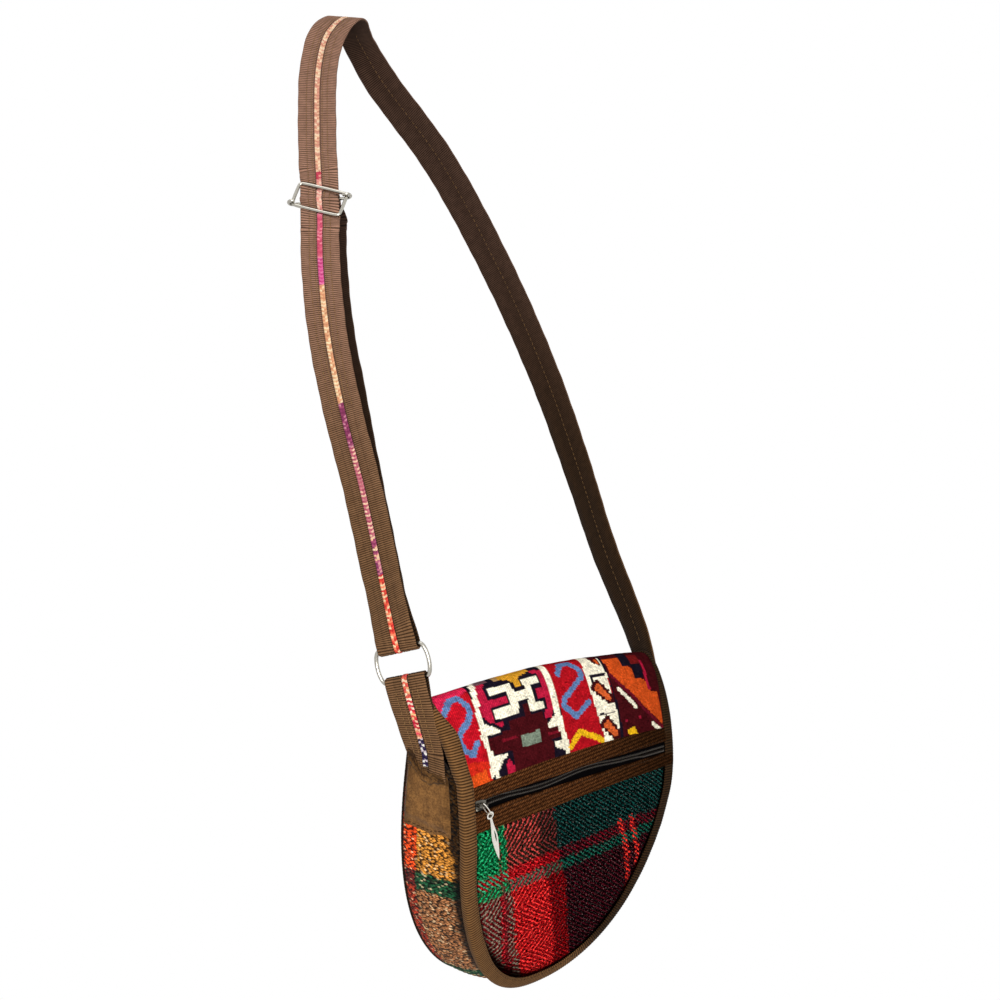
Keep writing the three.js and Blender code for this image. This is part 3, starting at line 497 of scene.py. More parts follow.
STRIP_STITCH, BINDING_STITCH = Stitch(2.4, 1.0, 0.45, 0.18), Stitch(2.6, 1.0, 0.45, 0.2)
SEAM_STITCH, PATCH_STITCH = Stitch(2.8, 1.0, 0.5, 0.2), Stitch(2.6, 1.2, 0.5, 0.25)
STRAP_STITCH, INNER_STITCH = Stitch(2.5, 0.9, 0.5, 0.2), Stitch(3.2, 1.6, 0.3, 0.1)


# Finishes


def linear(colour: str) -> tuple[float, float, float, float]:
    """Linear colour of an sRGB hex value."""
    parts = [int(colour[k: k + 2], 16) / 255 for k in (1, 3, 5)]
    return (*(c / 12.92 if c <= 0.04045 else ((c + 0.055) / 1.055) ** 2.4 for c in parts), 1.0)


def rgb(colour: str) -> Array:
    """Linear red, green and blue of an sRGB hex value."""
    return np.array(linear(colour)[:3])


def feed(node: bpy.types.Node, inputs: Inputs) -> None:
    """Sets or links a node's inputs.

    Args:
        node: the node.
        inputs: a socket to link, or a value, for each input by its name or number, or in order.
    """
    for key, value in inputs.items() if isinstance(inputs, dict) else enumerate(inputs):
        if isinstance(value, Socket):
            node.id_data.links.new(value, node.inputs[key])
        else:
            node.inputs[key].default_value = value


def add_node(tree: bpy.types.NodeTree, kind: str, inputs: Inputs = (), out: int | str = 0,
             **settings: Any) -> Socket:
    """Adds a node, with its settings and what its inputs take.

    Args:
        tree: the material's node tree.
        kind: the node's type name, without the ShaderNode that all of them start with.
        inputs: as feed takes them.
        out: the output that is wanted.
        settings: the node's own properties.

    Returns:
        The wanted output.
    """
    node = tree.nodes.new(f"ShaderNode{kind}")
    for key, value in settings.items():
        setattr(node, key, value)
    feed(node, inputs)
    return node.outputs[out]


# A mix node's sockets and settings for colours
SHARE, FIRST, SECOND, MIXED = 0, 6, 7, 2
COLOURS = {"data_type": "RGBA"}
TIMES, PLUS = ({"data_type": "RGBA", "blend_type": kind} for kind in ("MULTIPLY", "ADD"))


def blank(name: str) -> tuple[bpy.types.Material, Adder, bpy.types.Node]:
    """Starts a new material.

    Args:
        name: its name.

    Returns:
        The material, what adds nodes to it, and its shader.
    """
    material = bpy.data.materials.new(name)
    material.use_nodes = True
    tree = material.node_tree
    return material, partial(add_node, tree), next(n for n in tree.nodes if n.type == "BSDF_PRINCIPLED")


class Weave(Enum):
    """Directions of a cloth's thread bands, in degrees from across, each with its part of the pitch."""

    KNOT = ((0, 1.3), (90, 1.0))
    TWILL = ((52, 1.0),)
    DRILL = ((52, 1.0), (85, 1.7))
    RIB = ((90, 1.0),)
    PLAIN = ((0, 1.0), (90, 1.0))


@dataclass(frozen=True)
class ClothFinish:
    """Woven cloth: thread bands that shade and raise it, and uneven dye.

    A colour of None takes the vertex tint. Pitch, relief and blotch are millimetres on the cloth. Threads
    have their full colour above the crest, and painted shade darkens them between.
    """

    name: str
    slot: str
    colour: str | None
    weave: Weave
    pitch: float
    relief: float
    dark: float = 0.55
    crest: float = 0.6
    blotch: float = 6.0
    uneven: float = 0.16
    roughness: float = 0.88
    sheen: float = 0.05
    fuzz: float = 0.5

    def build(self) -> bpy.types.Material:
        """Makes the material.

        Returns:
            The material.
        """
        material, add, shader = blank(self.name)
        place = add("Attribute", out="Vector", attribute_name="cloth")
        height = None
        for angle, part in self.weave.value:
            turned = add("Mapping", {"Vector": place, "Rotation": (0, 0, math.radians(angle))})
            # A wave node's bands repeat every 2 pi / 20 of its scaled input.
            band = add("TexWave", {
                "Vector": turned, "Scale": 2 * math.pi / 20 / (self.pitch * part), "Distortion": 1.2,
                "Detail": 1.0, "Detail Scale": 1.6}, "Fac")
            height = band if height is None else add("Math", (height, band), operation="MULTIPLY")
        fibre = add("TexNoise", {
            "Vector": place, "Scale": 1 / self.fuzz, "Detail": 3.0, "Roughness": 0.7}, "Fac")
        lots = add("TexNoise", {"Vector": place, "Scale": 1 / self.blotch, "Detail": 2.0}, "Fac")
        # Painted shade between the threads, full colour on their crests.
        level = add("MapRange", {
            "Value": height, "From Max": self.crest, "To Min": self.dark, "To Max": 1.05})
        for noise, low, high, much in ((fibre, 0.25, 0.75, self.uneven), (lots, 0.3, 0.7, 0.7 * self.uneven)):
            factor = add("MapRange", {
                "Value": noise, "From Min": low, "From Max": high, "To Min": 1 - much, "To Max": 1 + much})
            level = add("Math", (level, factor), operation="MULTIPLY")
        dyed = linear(self.colour) if self.colour else add("Attribute", out="Color", attribute_name="tint")
        mixed = add("Mix", {SHARE: 1.0, FIRST: dyed, SECOND: level}, MIXED, **TIMES)
        raised = add("Math", (fibre, 0.5, height), operation="MULTIPLY_ADD")
        bump = add("Bump", {"Strength": 0.8, "Distance": self.relief / 1000, "Height": raised})
        feed(shader, {
            "Base Color": mixed, "Normal": bump, "Roughness": self.roughness, "Specular IOR Level": 0.01,
            "Sheen Weight": self.sheen, "Sheen Roughness": 0.5})
        return material


@dataclass(frozen=True)
class BoucleFinish:
    """Coarse tweed of looped yarn: slanted loops of uneven brightness, painted shade between them.

    The vertex tint gives the dye, and its alpha painted shade along the seam; loop is a loop's length and
    width in millimetres. Some loops are spun from a dark yarn, a few from a pale one.
    """

    name: str = "wool tweed of looped yarn"
    slot: str = "wool_plaid"
    loop: tuple[float, float] = (2.8, 1.5)
    slant: float = 38.0
    dark: str = "#241a12"
    pale: str = "#f0d2a4"

    def build(self) -> bpy.types.Material:
        """Makes the material.

        Returns:
            The material.
        """
        material, add, shader = blank(self.name)
        place = add("Attribute", out="Vector", attribute_name="cloth")
        turned = add("Mapping", {
            "Vector": place, "Rotation": (0, 0, math.radians(self.slant)),
            "Scale": (1 / self.loop[0], 1 / self.loop[1], 1)})
        distance = add("TexVoronoi", {"Vector": turned, "Scale": 1.0, "Randomness": 0.8}, "Distance",
                       voronoi_dimensions="2D")
        lots = add("SeparateColor", (distance.node.outputs["Color"],)).node.outputs
        # Painted shade in the gaps between the loops.
        level = add("MapRange", {
            "Value": distance, "From Min": 0.26, "From Max": 0.62, "To Min": 1.15, "To Max": 0.07},
            interpolation_type="SMOOTHSTEP")
        loops = add("MapRange", {"Value": lots[0], "To Min": 0.5, "To Max": 1.5})
        fibre = add("TexNoise", {"Vector": place, "Scale": 1.6, "Detail": 3.0, "Roughness": 0.7}, "Fac")
        speck = add("MapRange", {
            "Value": fibre, "From Min": 0.3, "From Max": 0.7, "To Min": 0.7, "To Max": 1.25})
        yarn = add("Attribute", out="Color", attribute_name="tint")
        # The tint's alpha is painted shade along the front seam and near the top.
        for factor in (loops, yarn.node.outputs["Alpha"], speck):
            level = add("Math", (level, factor), operation="MULTIPLY")
        sooty = add("MapRange", {
            "Value": lots[1], "From Min": 0.1, "From Max": 0.2, "To Min": 0.75, "To Max": 0.0})
        bright = add("MapRange", {"Value": lots[2], "From Min": 0.84, "From Max": 0.9, "To Max": 0.45})
        for share, colour in ((sooty, self.dark), (bright, self.pale)):
            yarn = add("Mix", {SHARE: share, FIRST: yarn, SECOND: linear(colour)}, MIXED, **COLOURS)
        shaded = add("Mix", {SHARE: 1.0, FIRST: yarn, SECOND: level}, MIXED, **TIMES)
        bump = add("Bump", {"Strength": 0.9, "Distance": 0.0008, "Height": distance}, invert=True)
        feed(shader, {
            "Base Color": shaded, "Normal": bump, "Roughness": 0.92, "Specular IOR Level": 0.08,
            "Sheen Weight": 0.03})
        return material


@dataclass(frozen=True)
class PlaidFinish:
    """Woollen plaid in a coarse twill: dyed warp over dyed weft.

    The cloth attribute holds the warp's place and the weft's place in millimetres; the warp and weft
    attributes hold the yarns' colours, and the tint's brightness is painted shade in the bound seam. The
    twill line turns back along the weft on the warp's red side and runs straight on the dark side.
    """

    name: str = "wool plaid twill, brushed"
    slot: str = "wool_plaid"
    repeat: float = 4.5
    turn: float = 22.0
    turn_from: float = 18.0
    straight_from: float = -25.0
    loose: float = 4.4
    hair: str = "#d8c8c0"

    def build(self) -> bpy.types.Material:
        """Makes the material.

        Returns:
            The material.
        """
        material, add, shader = blank(self.name)
        place = add("Attribute", out="Vector", attribute_name="cloth")
        warp, weft = (add("Attribute", out="Color", attribute_name=n) for n in ("warp", "weft"))
        w, f = add("SeparateXYZ", (place,)).node.outputs[:2]
        start = add("Math", (f, self.turn_from), operation="SUBTRACT")
        back = add("Math", (start, self.turn), operation="PINGPONG")
        dark_side = add("Math", (w, self.straight_from), operation="GREATER_THAN")
        climb = add("Mix", {SHARE: dark_side, 2: back, 3: f})
        yarn = add("TexNoise", {"Vector": place, "Scale": 0.55, "Detail": 2.0}, "Fac")
        waves = []
        for kind, length in (("ADD", self.repeat), ("SUBTRACT", 0.8 * self.repeat)):
            line = add("Math", (w, climb), operation=kind)
            loose = add("Math", (yarn, self.loose, line), operation="MULTIPLY_ADD")
            turns = add("Math", (loose, 2 * math.pi / length), operation="MULTIPLY")
            waves.append(add("Math", (turns,), operation="SINE"))
        ridge, across = waves
        over = add("MapRange", {"Value": ridge, "From Min": -0.2, "From Max": 0.4},
                   interpolation_type="SMOOTHSTEP")
        woven = add("Mix", {SHARE: over, FIRST: weft, SECOND: warp}, MIXED, **COLOURS)
        fibre = add("TexNoise", {"Vector": place, "Scale": 0.62, "Detail": 2.0, "Roughness": 0.6}, "Fac")
        speck = add("MapRange", {"Value": fibre, "From Min": 0.36, "From Max": 0.66, "To Max": 1.85})
        # Painted shade in the twill's grooves and painted light on its crests.
        dip = add("Math", (ridge,), operation="ABSOLUTE")
        level = add("MapRange", {"Value": dip, "From Max": 0.8, "To Min": 0.1, "To Max": 1.3})
        float_end = add("MapRange", {"Value": across, "From Min": -1.0, "From Max": 0.2, "To Min": 0.6})
        # Painted shade in the bound seam, from the tint.
        seam = add("Attribute", out="Fac", attribute_name="tint")
        for factor in (float_end, seam, speck):
            level = add("Math", (level, factor), operation="MULTIPLY")
        shaded = add("Mix", {SHARE: 1.0, FIRST: woven, SECOND: level}, MIXED, **TIMES)
        # Pale hairs and painted highlights on the crests of the twill.
        hair = add("TexNoise", {"Vector": place, "Scale": 0.8, "Detail": 2.0, "Roughness": 0.8}, "Fac")
        crest = add("MapRange", {"Value": hair, "From Min": 0.58, "From Max": 0.7})
        many = add("Math", (dark_side, 0.35, 0.45), operation="MULTIPLY_ADD")
        for factor in (many, level):
            crest = add("Math", (crest, factor), operation="MULTIPLY")
        both = add("Mix", {SHARE: 1.0, FIRST: weft, SECOND: warp}, MIXED, **PLUS)
        lit = add("Mix", {SHARE: 0.35, FIRST: both, SECOND: linear(self.hair)}, MIXED, **COLOURS)
        wool = add("Mix", {SHARE: crest, FIRST: shaded, SECOND: lit}, MIXED, **COLOURS)
        raised = add("Math", (dip, fibre), operation="ADD")
        bump = add("Bump", {"Strength": 0.9, "Distance": 0.0005, "Height": raised})
        feed(shader, {"Base Color": wool, "Normal": bump, "Roughness": 0.92, "Specular IOR Level": 0.0})
        return material


@dataclass(frozen=True)
class SuedeFinish:
    """Brown suede: a short brushed nap, blotched where rubbing wore it. Its vertex tint is painted shade in
    the creases, and darkens it towards the top and the ends.
    """

    name: str = "suede, napped"
    slot: str = "suede"
    colour: str = "#7e5830"
    wear_and_painted_light: str = "#593c20"

    def build(self) -> bpy.types.Material:
        """Makes the material.

        Returns:
            The material.
        """
        material, add, shader = blank(self.name)
        place = add("Attribute", out="Vector", attribute_name="cloth")
        patches = add("TexNoise", {"Vector": place, "Scale": 0.11, "Detail": 4.0, "Roughness": 0.65}, "Fac")
        nap = add("TexNoise", {"Vector": place, "Scale": 0.7, "Detail": 3.0, "Roughness": 0.75}, "Fac")
        much = add("MapRange", {"Value": patches, "From Min": 0.35, "From Max": 0.68})
        base = add("Mix", {
            SHARE: much, FIRST: linear(self.wear_and_painted_light), SECOND: linear(self.colour)}, MIXED, **COLOURS)
        level = add("MapRange", {
            "Value": nap, "From Min": 0.35, "From Max": 0.65, "To Min": 0.62, "To Max": 1.4})
        # The tint is painted shade in the creases, and darker towards the top and the ends.
        wear_and_painted_light = add("Attribute", out="Fac", attribute_name="tint")
        tone = add("Math", (level, wear_and_painted_light), operation="MULTIPLY")
        mixed = add("Mix", {SHARE: 1.0, FIRST: base, SECOND: tone}, MIXED, **TIMES)
        bump = add("Bump", {"Strength": 0.6, "Distance": 0.0003, "Height": nap})
        feed(shader, {
            "Base Color": mixed, "Normal": bump, "Roughness": 0.93, "Specular IOR Level": 0.08,
            "Sheen Weight": 0.05})
        return material


@dataclass(frozen=True)
class NickelFinish:
    """Nickel-plated steel wire: bright, with fine drawn scratches and a few dull spots."""

    name: str = "nickel plate on drawn steel wire"
    slot: str = "nickel"
    colour: str = "#bdb9af"
    tarnish: str = "#99958b"

    def build(self) -> bpy.types.Material:
        """Makes the material.

        Returns:
            The material.
        """
        material, add, shader = blank(self.name)
        place = add("TexCoord", out="Object")
        tone_and_painted_shade = add("TexNoise", {"Vector": place, "Scale": 260.0, "Detail": 3.0, "Roughness": 0.65}, "Fac")
        drawn = add("TexNoise", {"Vector": place, "Scale": 2400.0, "Detail": 2.0}, "Fac")
        dull = add("MapRange", {
            "Value": tone_and_painted_shade, "From Min": 0.35, "From Max": 0.7, "To Min": 0.18, "To Max": 0.28})
        tone = add("Mix", {
            SHARE: tone_and_painted_shade, FIRST: linear(self.colour), SECOND: linear(self.tarnish)}, MIXED, **COLOURS)
        bump = add("Bump", {"Strength": 0.1, "Distance": 0.00001, "Height": drawn})
        feed(shader, {"Base Color": tone, "Normal": bump, "Roughness": dull, "Metallic": 1.0})
        return material


@dataclass(frozen=True)
class CoilFinish:
    """Black nylon monofilament, glossy, with painted grey highlights from the vertex tint along its turns."""

    name: str = "nylon zip coil, black"
    slot: str = "zip_coil"

    def build(self) -> bpy.types.Material:
        """Makes the material.

        Returns:
            The material.
        """
        material, add, shader = blank(self.name)
        place = add("TexCoord", out="Object")
        rub = add("TexNoise", {"Vector": place, "Scale": 300.0, "Detail": 2.0}, "Fac")
        tone = add("Attribute", out="Color", attribute_name="tint")
        gloss = add("MapRange", {"Value": rub, "To Min": 0.24, "To Max": 0.4})
        feed(shader, {"Base Color": tone, "Roughness": gloss, "Specular IOR Level": 0.12})
        return material


KILIM = ClothFinish("wool kilim, flat tapestry weave", "kilim", None, Weave.KNOT, 1.0, 0.3, dark=0.6,
                    crest=0.3, uneven=0.22, sheen=0.0, fuzz=1.1)
TWILL = ClothFinish("brown cotton twill", "brown_twill", "#56331a", Weave.DRILL, 1.5, 0.3, dark=0.2,
                    crest=0.45, blotch=3.0, uneven=0.6, sheen=0.0, fuzz=1.3)
TAPE = ClothFinish("ribbed brown cotton tape", "ribbed_tape", None, Weave.PLAIN, 0.8, 0.12, dark=0.75,
                   crest=0.3, sheen=0.03)
# The strips take their colour from the tint, which carries painted shade, darker to the right.
STRIP = replace(TWILL, name="brown cotton drill, shaded to the right", colour=None)
EDGE = ClothFinish("dark seam tape", "dark_tape", "#241810", Weave.RIB, 1.2, 0.15)
LINING = ClothFinish("plain cotton lining", "lining_cotton", "#2b2420", Weave.PLAIN, 0.8, 0.1, dark=0.7)
ZIP_TAPE = ClothFinish("black zip tape, woven polyester", "zip_tape", "#070607", Weave.TWILL, 0.9, 0.1,
                       sheen=0.0)
WEBBING = replace(TAPE, name="ribbed cotton webbing", slot="webbing", uneven=0.2)
BRAID = ClothFinish("variegated cotton braid", "braid", None, Weave.TWILL, 0.9, 0.2, dark=0.7, blotch=3.0,
                    sheen=0.03)
THREAD = ClothFinish("ochre sewing thread", "webbing", "#8f6c44", Weave.TWILL, 0.5, 0.05, dark=0.8)
DARK_THREAD = replace(THREAD, name="dark brown sewing thread", slot="brown_twill", colour="#3d2817")
GUSSET_WOOL = BoucleFinish()
PLAID, SUEDE, NICKEL, COIL = PlaidFinish(), SuedeFinish(), NickelFinish(), CoilFinish()
# A darker nickel for the zip's slider.
DARK_NICKEL = NickelFinish("darkened nickel plate on cast zinc", colour="#7d7971", tarnish="#4a4640")
# Nickel painted light, for the pull's link and drop.
LIT_NICKEL = NickelFinish("nickel plate on cast zinc, painted light", colour="#f2eee4", tarnish="#d6d0c4")
Finish = ClothFinish | BoucleFinish | PlaidFinish | SuedeFinish | NickelFinish | CoilFinish
MADE: dict[str, bpy.types.Material] = {}


def dress(piece: Piece, finish: Finish) -> None:
    """Gives a piece the material of a finish, which is made once.

    Args:
        piece: the piece.
        finish: its finish.
    """
    if finish.name not in MADE:
        MADE[finish.name] = finish.build()
    piece.data.materials.clear()
    piece.data.materials.append(MADE[finish.name])


def settle(piece: Piece, finish: Finish, node: str = "") -> Piece:
    """Dresses a piece, sets it on the bag, hides the solid that it replaces and logs its size.

    Args:
        piece: the new piece.
        finish: its finish.
        node: the solid that it replaces, if any.

    Returns:
        The piece.
    """
    dress(piece, finish)
    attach(piece, "bag")
    if node:
        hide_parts(node)
    log.info("%s: %d faces", piece.name, len(piece.data.polygons))
    return piece


def make_piece(name: str, solid: Solid, finish: Finish, node: str = "", **data: Array) -> Piece:
    """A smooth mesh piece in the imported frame, dressed and set on the bag.

    Args:
        name: the piece's name.
        solid: places in the bag's frame, and the vertex numbers of each face.
        finish: its finish.
        node: the solid that it replaces, if any.
        data: values at each vertex. The one called cloth is the place on the cloth in millimetres, for
            the weave, and all others are linear colours.

    Returns:
        The piece.
    """
    verts, faces = solid
    mesh = bpy.data.meshes.new(name)
    mesh.from_pydata(packed(verts).tolist(), [], faces)
    for label, values in data.items():
        flat = label == "cloth"
        kind, field, size = ("FLOAT_VECTOR", "vector", 3) if flat else ("FLOAT_COLOR", "color", 4)
        full = np.zeros((len(verts), size)) + (size == 4)
        full[:, : values.shape[1]] = values
        mesh.attributes.new(label, kind, "POINT").data.foreach_set(field, full.astype(np.float32).ravel())
    mesh.shade_smooth()
    mesh.update()
    piece = bpy.data.objects.new(name, mesh)
    bpy.context.scene.collection.objects.link(piece)
    return settle(piece, finish, node)


def cloth_sheet(name: str, outer: Array, inner: Array, step: int, finish: Finish, node: str,
                **data: Array) -> Piece:
    """A closed sheet of cloth.

    Args:
        name: the piece's name.
        outer: fine grid of its outer face.
        inner: the same grid at its inner face.
        step: how many fine lines make a coarse one inside.
        finish: its finish.
        node: the solid that it replaces.
        data: values on the grid; see make_piece.

    Returns:
        The piece.
    """
    fields = {label: grid_data(values, step) for label, values in data.items()}
    return make_piece(name, slab(outer, inner, step), finish, node, **fields)


# Chart units in a millimetre across, millimetres in a unit down, and the run from the kilim's low edge to
# the chart's top
CHART_ACROSS, CHART_DOWN, CHART_TOP = 6, 0.1472, 72.6


@dataclass
class Chart:
    """Colour chart of a woven panel: fields and lines laid over each other at each knot."""

    across: Array
    down: Array

    def __post_init__(self) -> None:
        """Starts with bare cloth."""
        self.colour = np.zeros((*self.across.shape, 3))

    def fill(self, colour: str, where: Any = ...) -> None:
        """Lays a colour over the whole cloth, or where it is told."""
        self.colour[where] = rgb(colour)

    def field(self, colour: str, *corners: tuple[float, float]) -> None:
        """Lays a colour inside a polygon.

        Args:
            colour: sRGB hex value.
            corners: across and down, in turn.
        """
        inside = np.zeros(self.across.shape, bool)
        for (x0, y0), (x1, y1) in zip(corners, corners[1:] + corners[:1]):
            cross = (y0 > self.down) != (y1 > self.down)
            at = x0 + (self.down - y0) * (x1 - x0) / ((y1 - y0) or 1e-9)
            inside ^= cross & (self.across < at)
        self.fill(colour, inside)

    def block(self, colour: str, x0: float, y0: float, x1: float, y1: float) -> None:
        """Lays a colour on a rectangle."""
        self.fill(colour, (self.across >= x0) & (self.across <= x1) & (self.down >= y0) & (self.down <= y1))

    def leaf(self, colour: str, width: float, start: tuple[float, float], end: tuple[float, float]) -> None:
        """Lays a leaf with toothed sides.

        Args:
            colour: sRGB hex value.
            width: across the leaf.
            start: its stalk, across and down.
            end: its tip.
        """
        (x0, y0), (x1, y1) = start, end
        size = math.hypot(x1 - x0, y1 - y0)
        ax, ay = (x1 - x0) / size, (y1 - y0) / size
        rim = [(0.0, 0.35), (0.14, 0.5), (0.2, 0.36), (0.36, 0.5), (0.42, 0.36), (0.6, 0.5), (0.66, 0.34),
               (0.84, 0.44), (1.0, 0.1)]
        sides = [(k, h * width) for k, h in rim] + [(k, -h * width) for k, h in rim[::-1]]
        self.field(colour, *((x0 + ax * k * size - ay * h, y0 + ay * k * size + ax * h) for k, h in sides))

    def line(self, colour: str, width: float, *points: tuple[float, float]) -> None:
        """Lays a band of colour along a line.

        Args:
            colour: sRGB hex value.
            width: across the band.
            points: across and down, in turn.
        """
        near = np.full(self.across.shape, 1e9)
        for (x0, y0), (x1, y1) in zip(points, points[1:]):
            dx, dy = x1 - x0, y1 - y0
            k = np.clip(((self.across - x0) * dx + (self.down - y0) * dy) / (dx * dx + dy * dy), 0, 1)
            near = np.minimum(near, np.hypot(self.across - x0 - k * dx, self.down - y0 - k * dy))
        self.fill(colour, near < width / 2)


RED, DEEP_RED, CRIMSON, PINK, ORANGE = "#b3141f", "#a01018", "#b81c3c", "#e0284f", "#d9541e"
CREAM, NAVY, MAROON, GOLD, YELLOW, BLUE = "#fff6dc", "#191320", "#450f14", "#d99a2b", "#f0b81c", "#5f7fae"


def kilim_chart(c: Chart) -> None:
    """Bands of the kilim from left to right: hooked columns, a stepped medallion and a leaf border.

    Args:
        c: the chart to lay them on.
    """
    c.fill(RED)
    # Left hooked column
    c.field("#c21524", (-20, -90), (150, -90), (140, 600), (-20, 600))
    c.field(PINK, (-20, -90), (190, -90), (185, 60), (130, 85), (60, 110), (20, 190), (-20, 190))
    c.field("#cf2a1a", (-20, 330), (60, 400), (175, 420), (200, 560), (-20, 560))
    c.field("#e2521c", (40, 470), (140, 450), (150, 520), (40, 540))
    c.line(BLUE, 27, (36, 146), (78, 90), (112, 94), (139, 143), (138, 175), (112, 215), (62, 262), (56, 298),
           (75, 342), (100, 370), (128, 325))
    # Medallion
    c.field(NAVY, (165, -90), (550, -90), (575, 560), (165, 560))
    c.field("#6b4a52", (190, -90), (265, -90), (265, 60), (190, 60))
    c.field("#b08a5a", (262, -90), (360, -90), (350, 62), (290, 62))
    c.field(GOLD, (355, -90), (482, -90), (470, 60), (410, 75), (405, 122), (365, 122), (358, 75), (310, 62))
    c.field(CRIMSON, (182, 60), (242, 60), (232, 85), (224, 110), (224, 190), (232, 225), (268, 262),
            (256, 282), (198, 240), (180, 210))
    c.field(CRIMSON, (468, 62), (528, 62), (535, 250), (510, 300), (470, 292), (485, 260), (500, 250),
            (500, 110))
    steps = ((238, 90, 352, 128), (318, 100, 356, 240), (236, 196, 356, 242), (330, 138, 440, 186),
             (408, 92, 440, 246), (408, 92, 488, 126), (430, 212, 486, 248))
    for colour, grow in ((NAVY, 11), (CREAM, 0)):
        for x0, y0, x1, y1 in steps:
            c.block(colour, x0 - grow, y0 - grow, x1 + grow, y1 + grow)
    c.block(CRIMSON, 226, 146, 312, 178)
    c.block(CRIMSON, 455, 152, 500, 200)
    # Stepped figure below the medallion
    for corners in ((372, 205, 404, 262), (290, 262, 470, 305), (250, 300, 482, 330), (172, 318, 545, 398),
                    (285, 395, 495, 520)):
        c.block(MAROON, *corners)
    c.field(CREAM, (150, 262), (182, 250), (240, 290), (238, 306), (172, 306), (150, 320))
    c.field(CREAM, (160, 408), (256, 404), (262, 416), (236, 430), (205, 468), (160, 500))
    c.field(CREAM, (482, 330), (560, 262), (560, 345), (486, 345))
    c.field(CREAM, (504, 412), (590, 406), (590, 480), (560, 466), (504, 440))
    c.field(CRIMSON, (240, 468), (262, 432), (282, 470), (282, 520), (240, 520))
    for left, right, y in ((250, 310, 345), (485, 540, 372)):
        c.line("#7a1524", 12, (left, y), (right, y))
    c.block("#7d8a78", 335, 340, 440, 400)
    # Cream stripes either side
    c.line(CREAM, 21, (205, -90), (198, 20), (180, 107), (172, 187), (166, 248), (167, 325), (174, 406),
           (189, 477), (196, 560))
    c.line(CREAM, 30, (530, -90), (545, 60), (548, 300), (572, 480), (576, 560))
    # Right hooked column
    c.field(RED, (566, -90), (765, -90), (758, 200), (772, 330), (802, 480), (810, 560), (592, 560),
            (572, 330))
    c.field("#8f0f16", (610, -90), (760, -90), (758, 60), (620, 60))
    c.line(BLUE, 27, (605, 112), (640, 66), (690, 62), (738, 118), (728, 152), (604, 228), (590, 262),
           (650, 325), (738, 272))
    c.line(YELLOW, 28, (592, 458), (660, 398), (790, 470))
    # Leaf column
    c.field(CREAM, (762, -90), (888, -90), (884, 200), (892, 330), (905, 480), (910, 560), (812, 560),
            (802, 480), (772, 330), (758, 200))
    c.field(MAROON, (805, -90), (880, -90), (876, 110), (826, 82))
    c.field(ORANGE, (840, 70), (868, 62), (868, 104))
    for start, end in (((782, 150), (872, 150)), ((786, 150), (786, 188)), ((788, 348), (876, 348))):
        c.line(NAVY, 12, start, end)
    for dx, dy in ((0, 0), (12, 184)):
        c.leaf("#3d1014", 74, (786 + dx, 186 + dy), (884 + dx, 300 + dy))
        c.leaf("#d9602e", 40, (798 + dx, 202 + dy), (868 + dx, 284 + dy))
    # Right border: orange field over a maroon one
    c.field(MAROON, (888, -90), (1250, -90), (1250, 560), (905, 560))
    c.field(ORANGE, (900, 76), (1000, 70), (1020, 120), (1060, 150), (1060, 200), (1110, 205), (1130, 280),
            (1166, 290), (1172, 476), (905, 150))
    for colour, *corners in ((NAVY, 1000, 40, 1060, 130), (NAVY, 1052, 120, 1112, 202),
                             ("#7a1a1a", 1062, 66, 1125, 118), (CRIMSON, 1118, 100, 1136, 270)):
        c.block(colour, *corners)
    c.line("#6b1424", 16, (905, 162), (1175, 500))
    for start, end in (((932, 236), (1016, 348)), ((1104, 452), (1160, 500))):
        c.line(CREAM, 20, start, end)
    c.field(YELLOW, (940, 452), (985, 444), (1004, 484), (950, 482))
    for left in (940, 1024):
        c.block("#a11c35", left, 396, left + 16, 412)
    c.line(NAVY, 12, (884, -90), (892, 200), (898, 330), (910, 560))


# Plaid: for each column of the warp, the weft bands from the top down with the colours of warp and weft.
PLAID_BANDS = (117.0, 108.0, 99.0, -1000.0)
PLAID_COLUMNS: tuple[tuple[float, tuple[tuple[str, str], ...]], ...] = (
    (-1000, (("#1c9c60", "#045a30"), ("#3f9a70", "#a00c18"), ("#16985a", "#3c4c30"), ("#847060", "#6a0c12"))),
    (-69.5, (("#b8403a", "#241f16"), ("#cc1c22", "#940a12"), ("#a82a30", "#4a6450"), ("#ee2e2c", "#980810"))),
    (-40, (("#682624", "#181a13"), ("#a41018", "#700810"), ("#6a1c22", "#38543f"), ("#90080e", "#56040a"))),
    (-25, (("#020a09", "#0a3d38"), ("#12060a", "#6a0c1a"), ("#040808", "#0c5544"), ("#0c0407", "#400814"))),
)
# Single lines of the warp: first and last place, the highest weft they reach, colour.
PLAID_LINES = ((34.0, 39.0, 121.0, "#f03226"), (45.5, 50.5, 121.0, "#f03226"),
               (-80.0, -76.0, 99.0, "#c8222c"), (-77.0, -74.5, 1000.0, "#7c2a2c"))


def plaid_yarns(w: Array, f: Array) -> Pair:
    """Warp and weft colours of the plaid.

    Args:
        w: place across the warp.
        f: place along it, upward.

    Returns:
        Linear colours of the warp and of the weft at each place.
    """
    warp, weft = np.zeros((*w.shape, 3)), np.zeros((*w.shape, 3))
    for left, bands in PLAID_COLUMNS:
        top = 1000.0
        for low, (a, b) in zip(PLAID_BANDS, bands):
            here = (w >= left) & (f >= low) & (f < top)
            warp[here], weft[here] = rgb(a), rgb(b)
            top = low
    for first, last, high, colour in PLAID_LINES:
        warp[(w >= first) & (w <= last) & (f < high)] = rgb(colour)
    return warp, weft


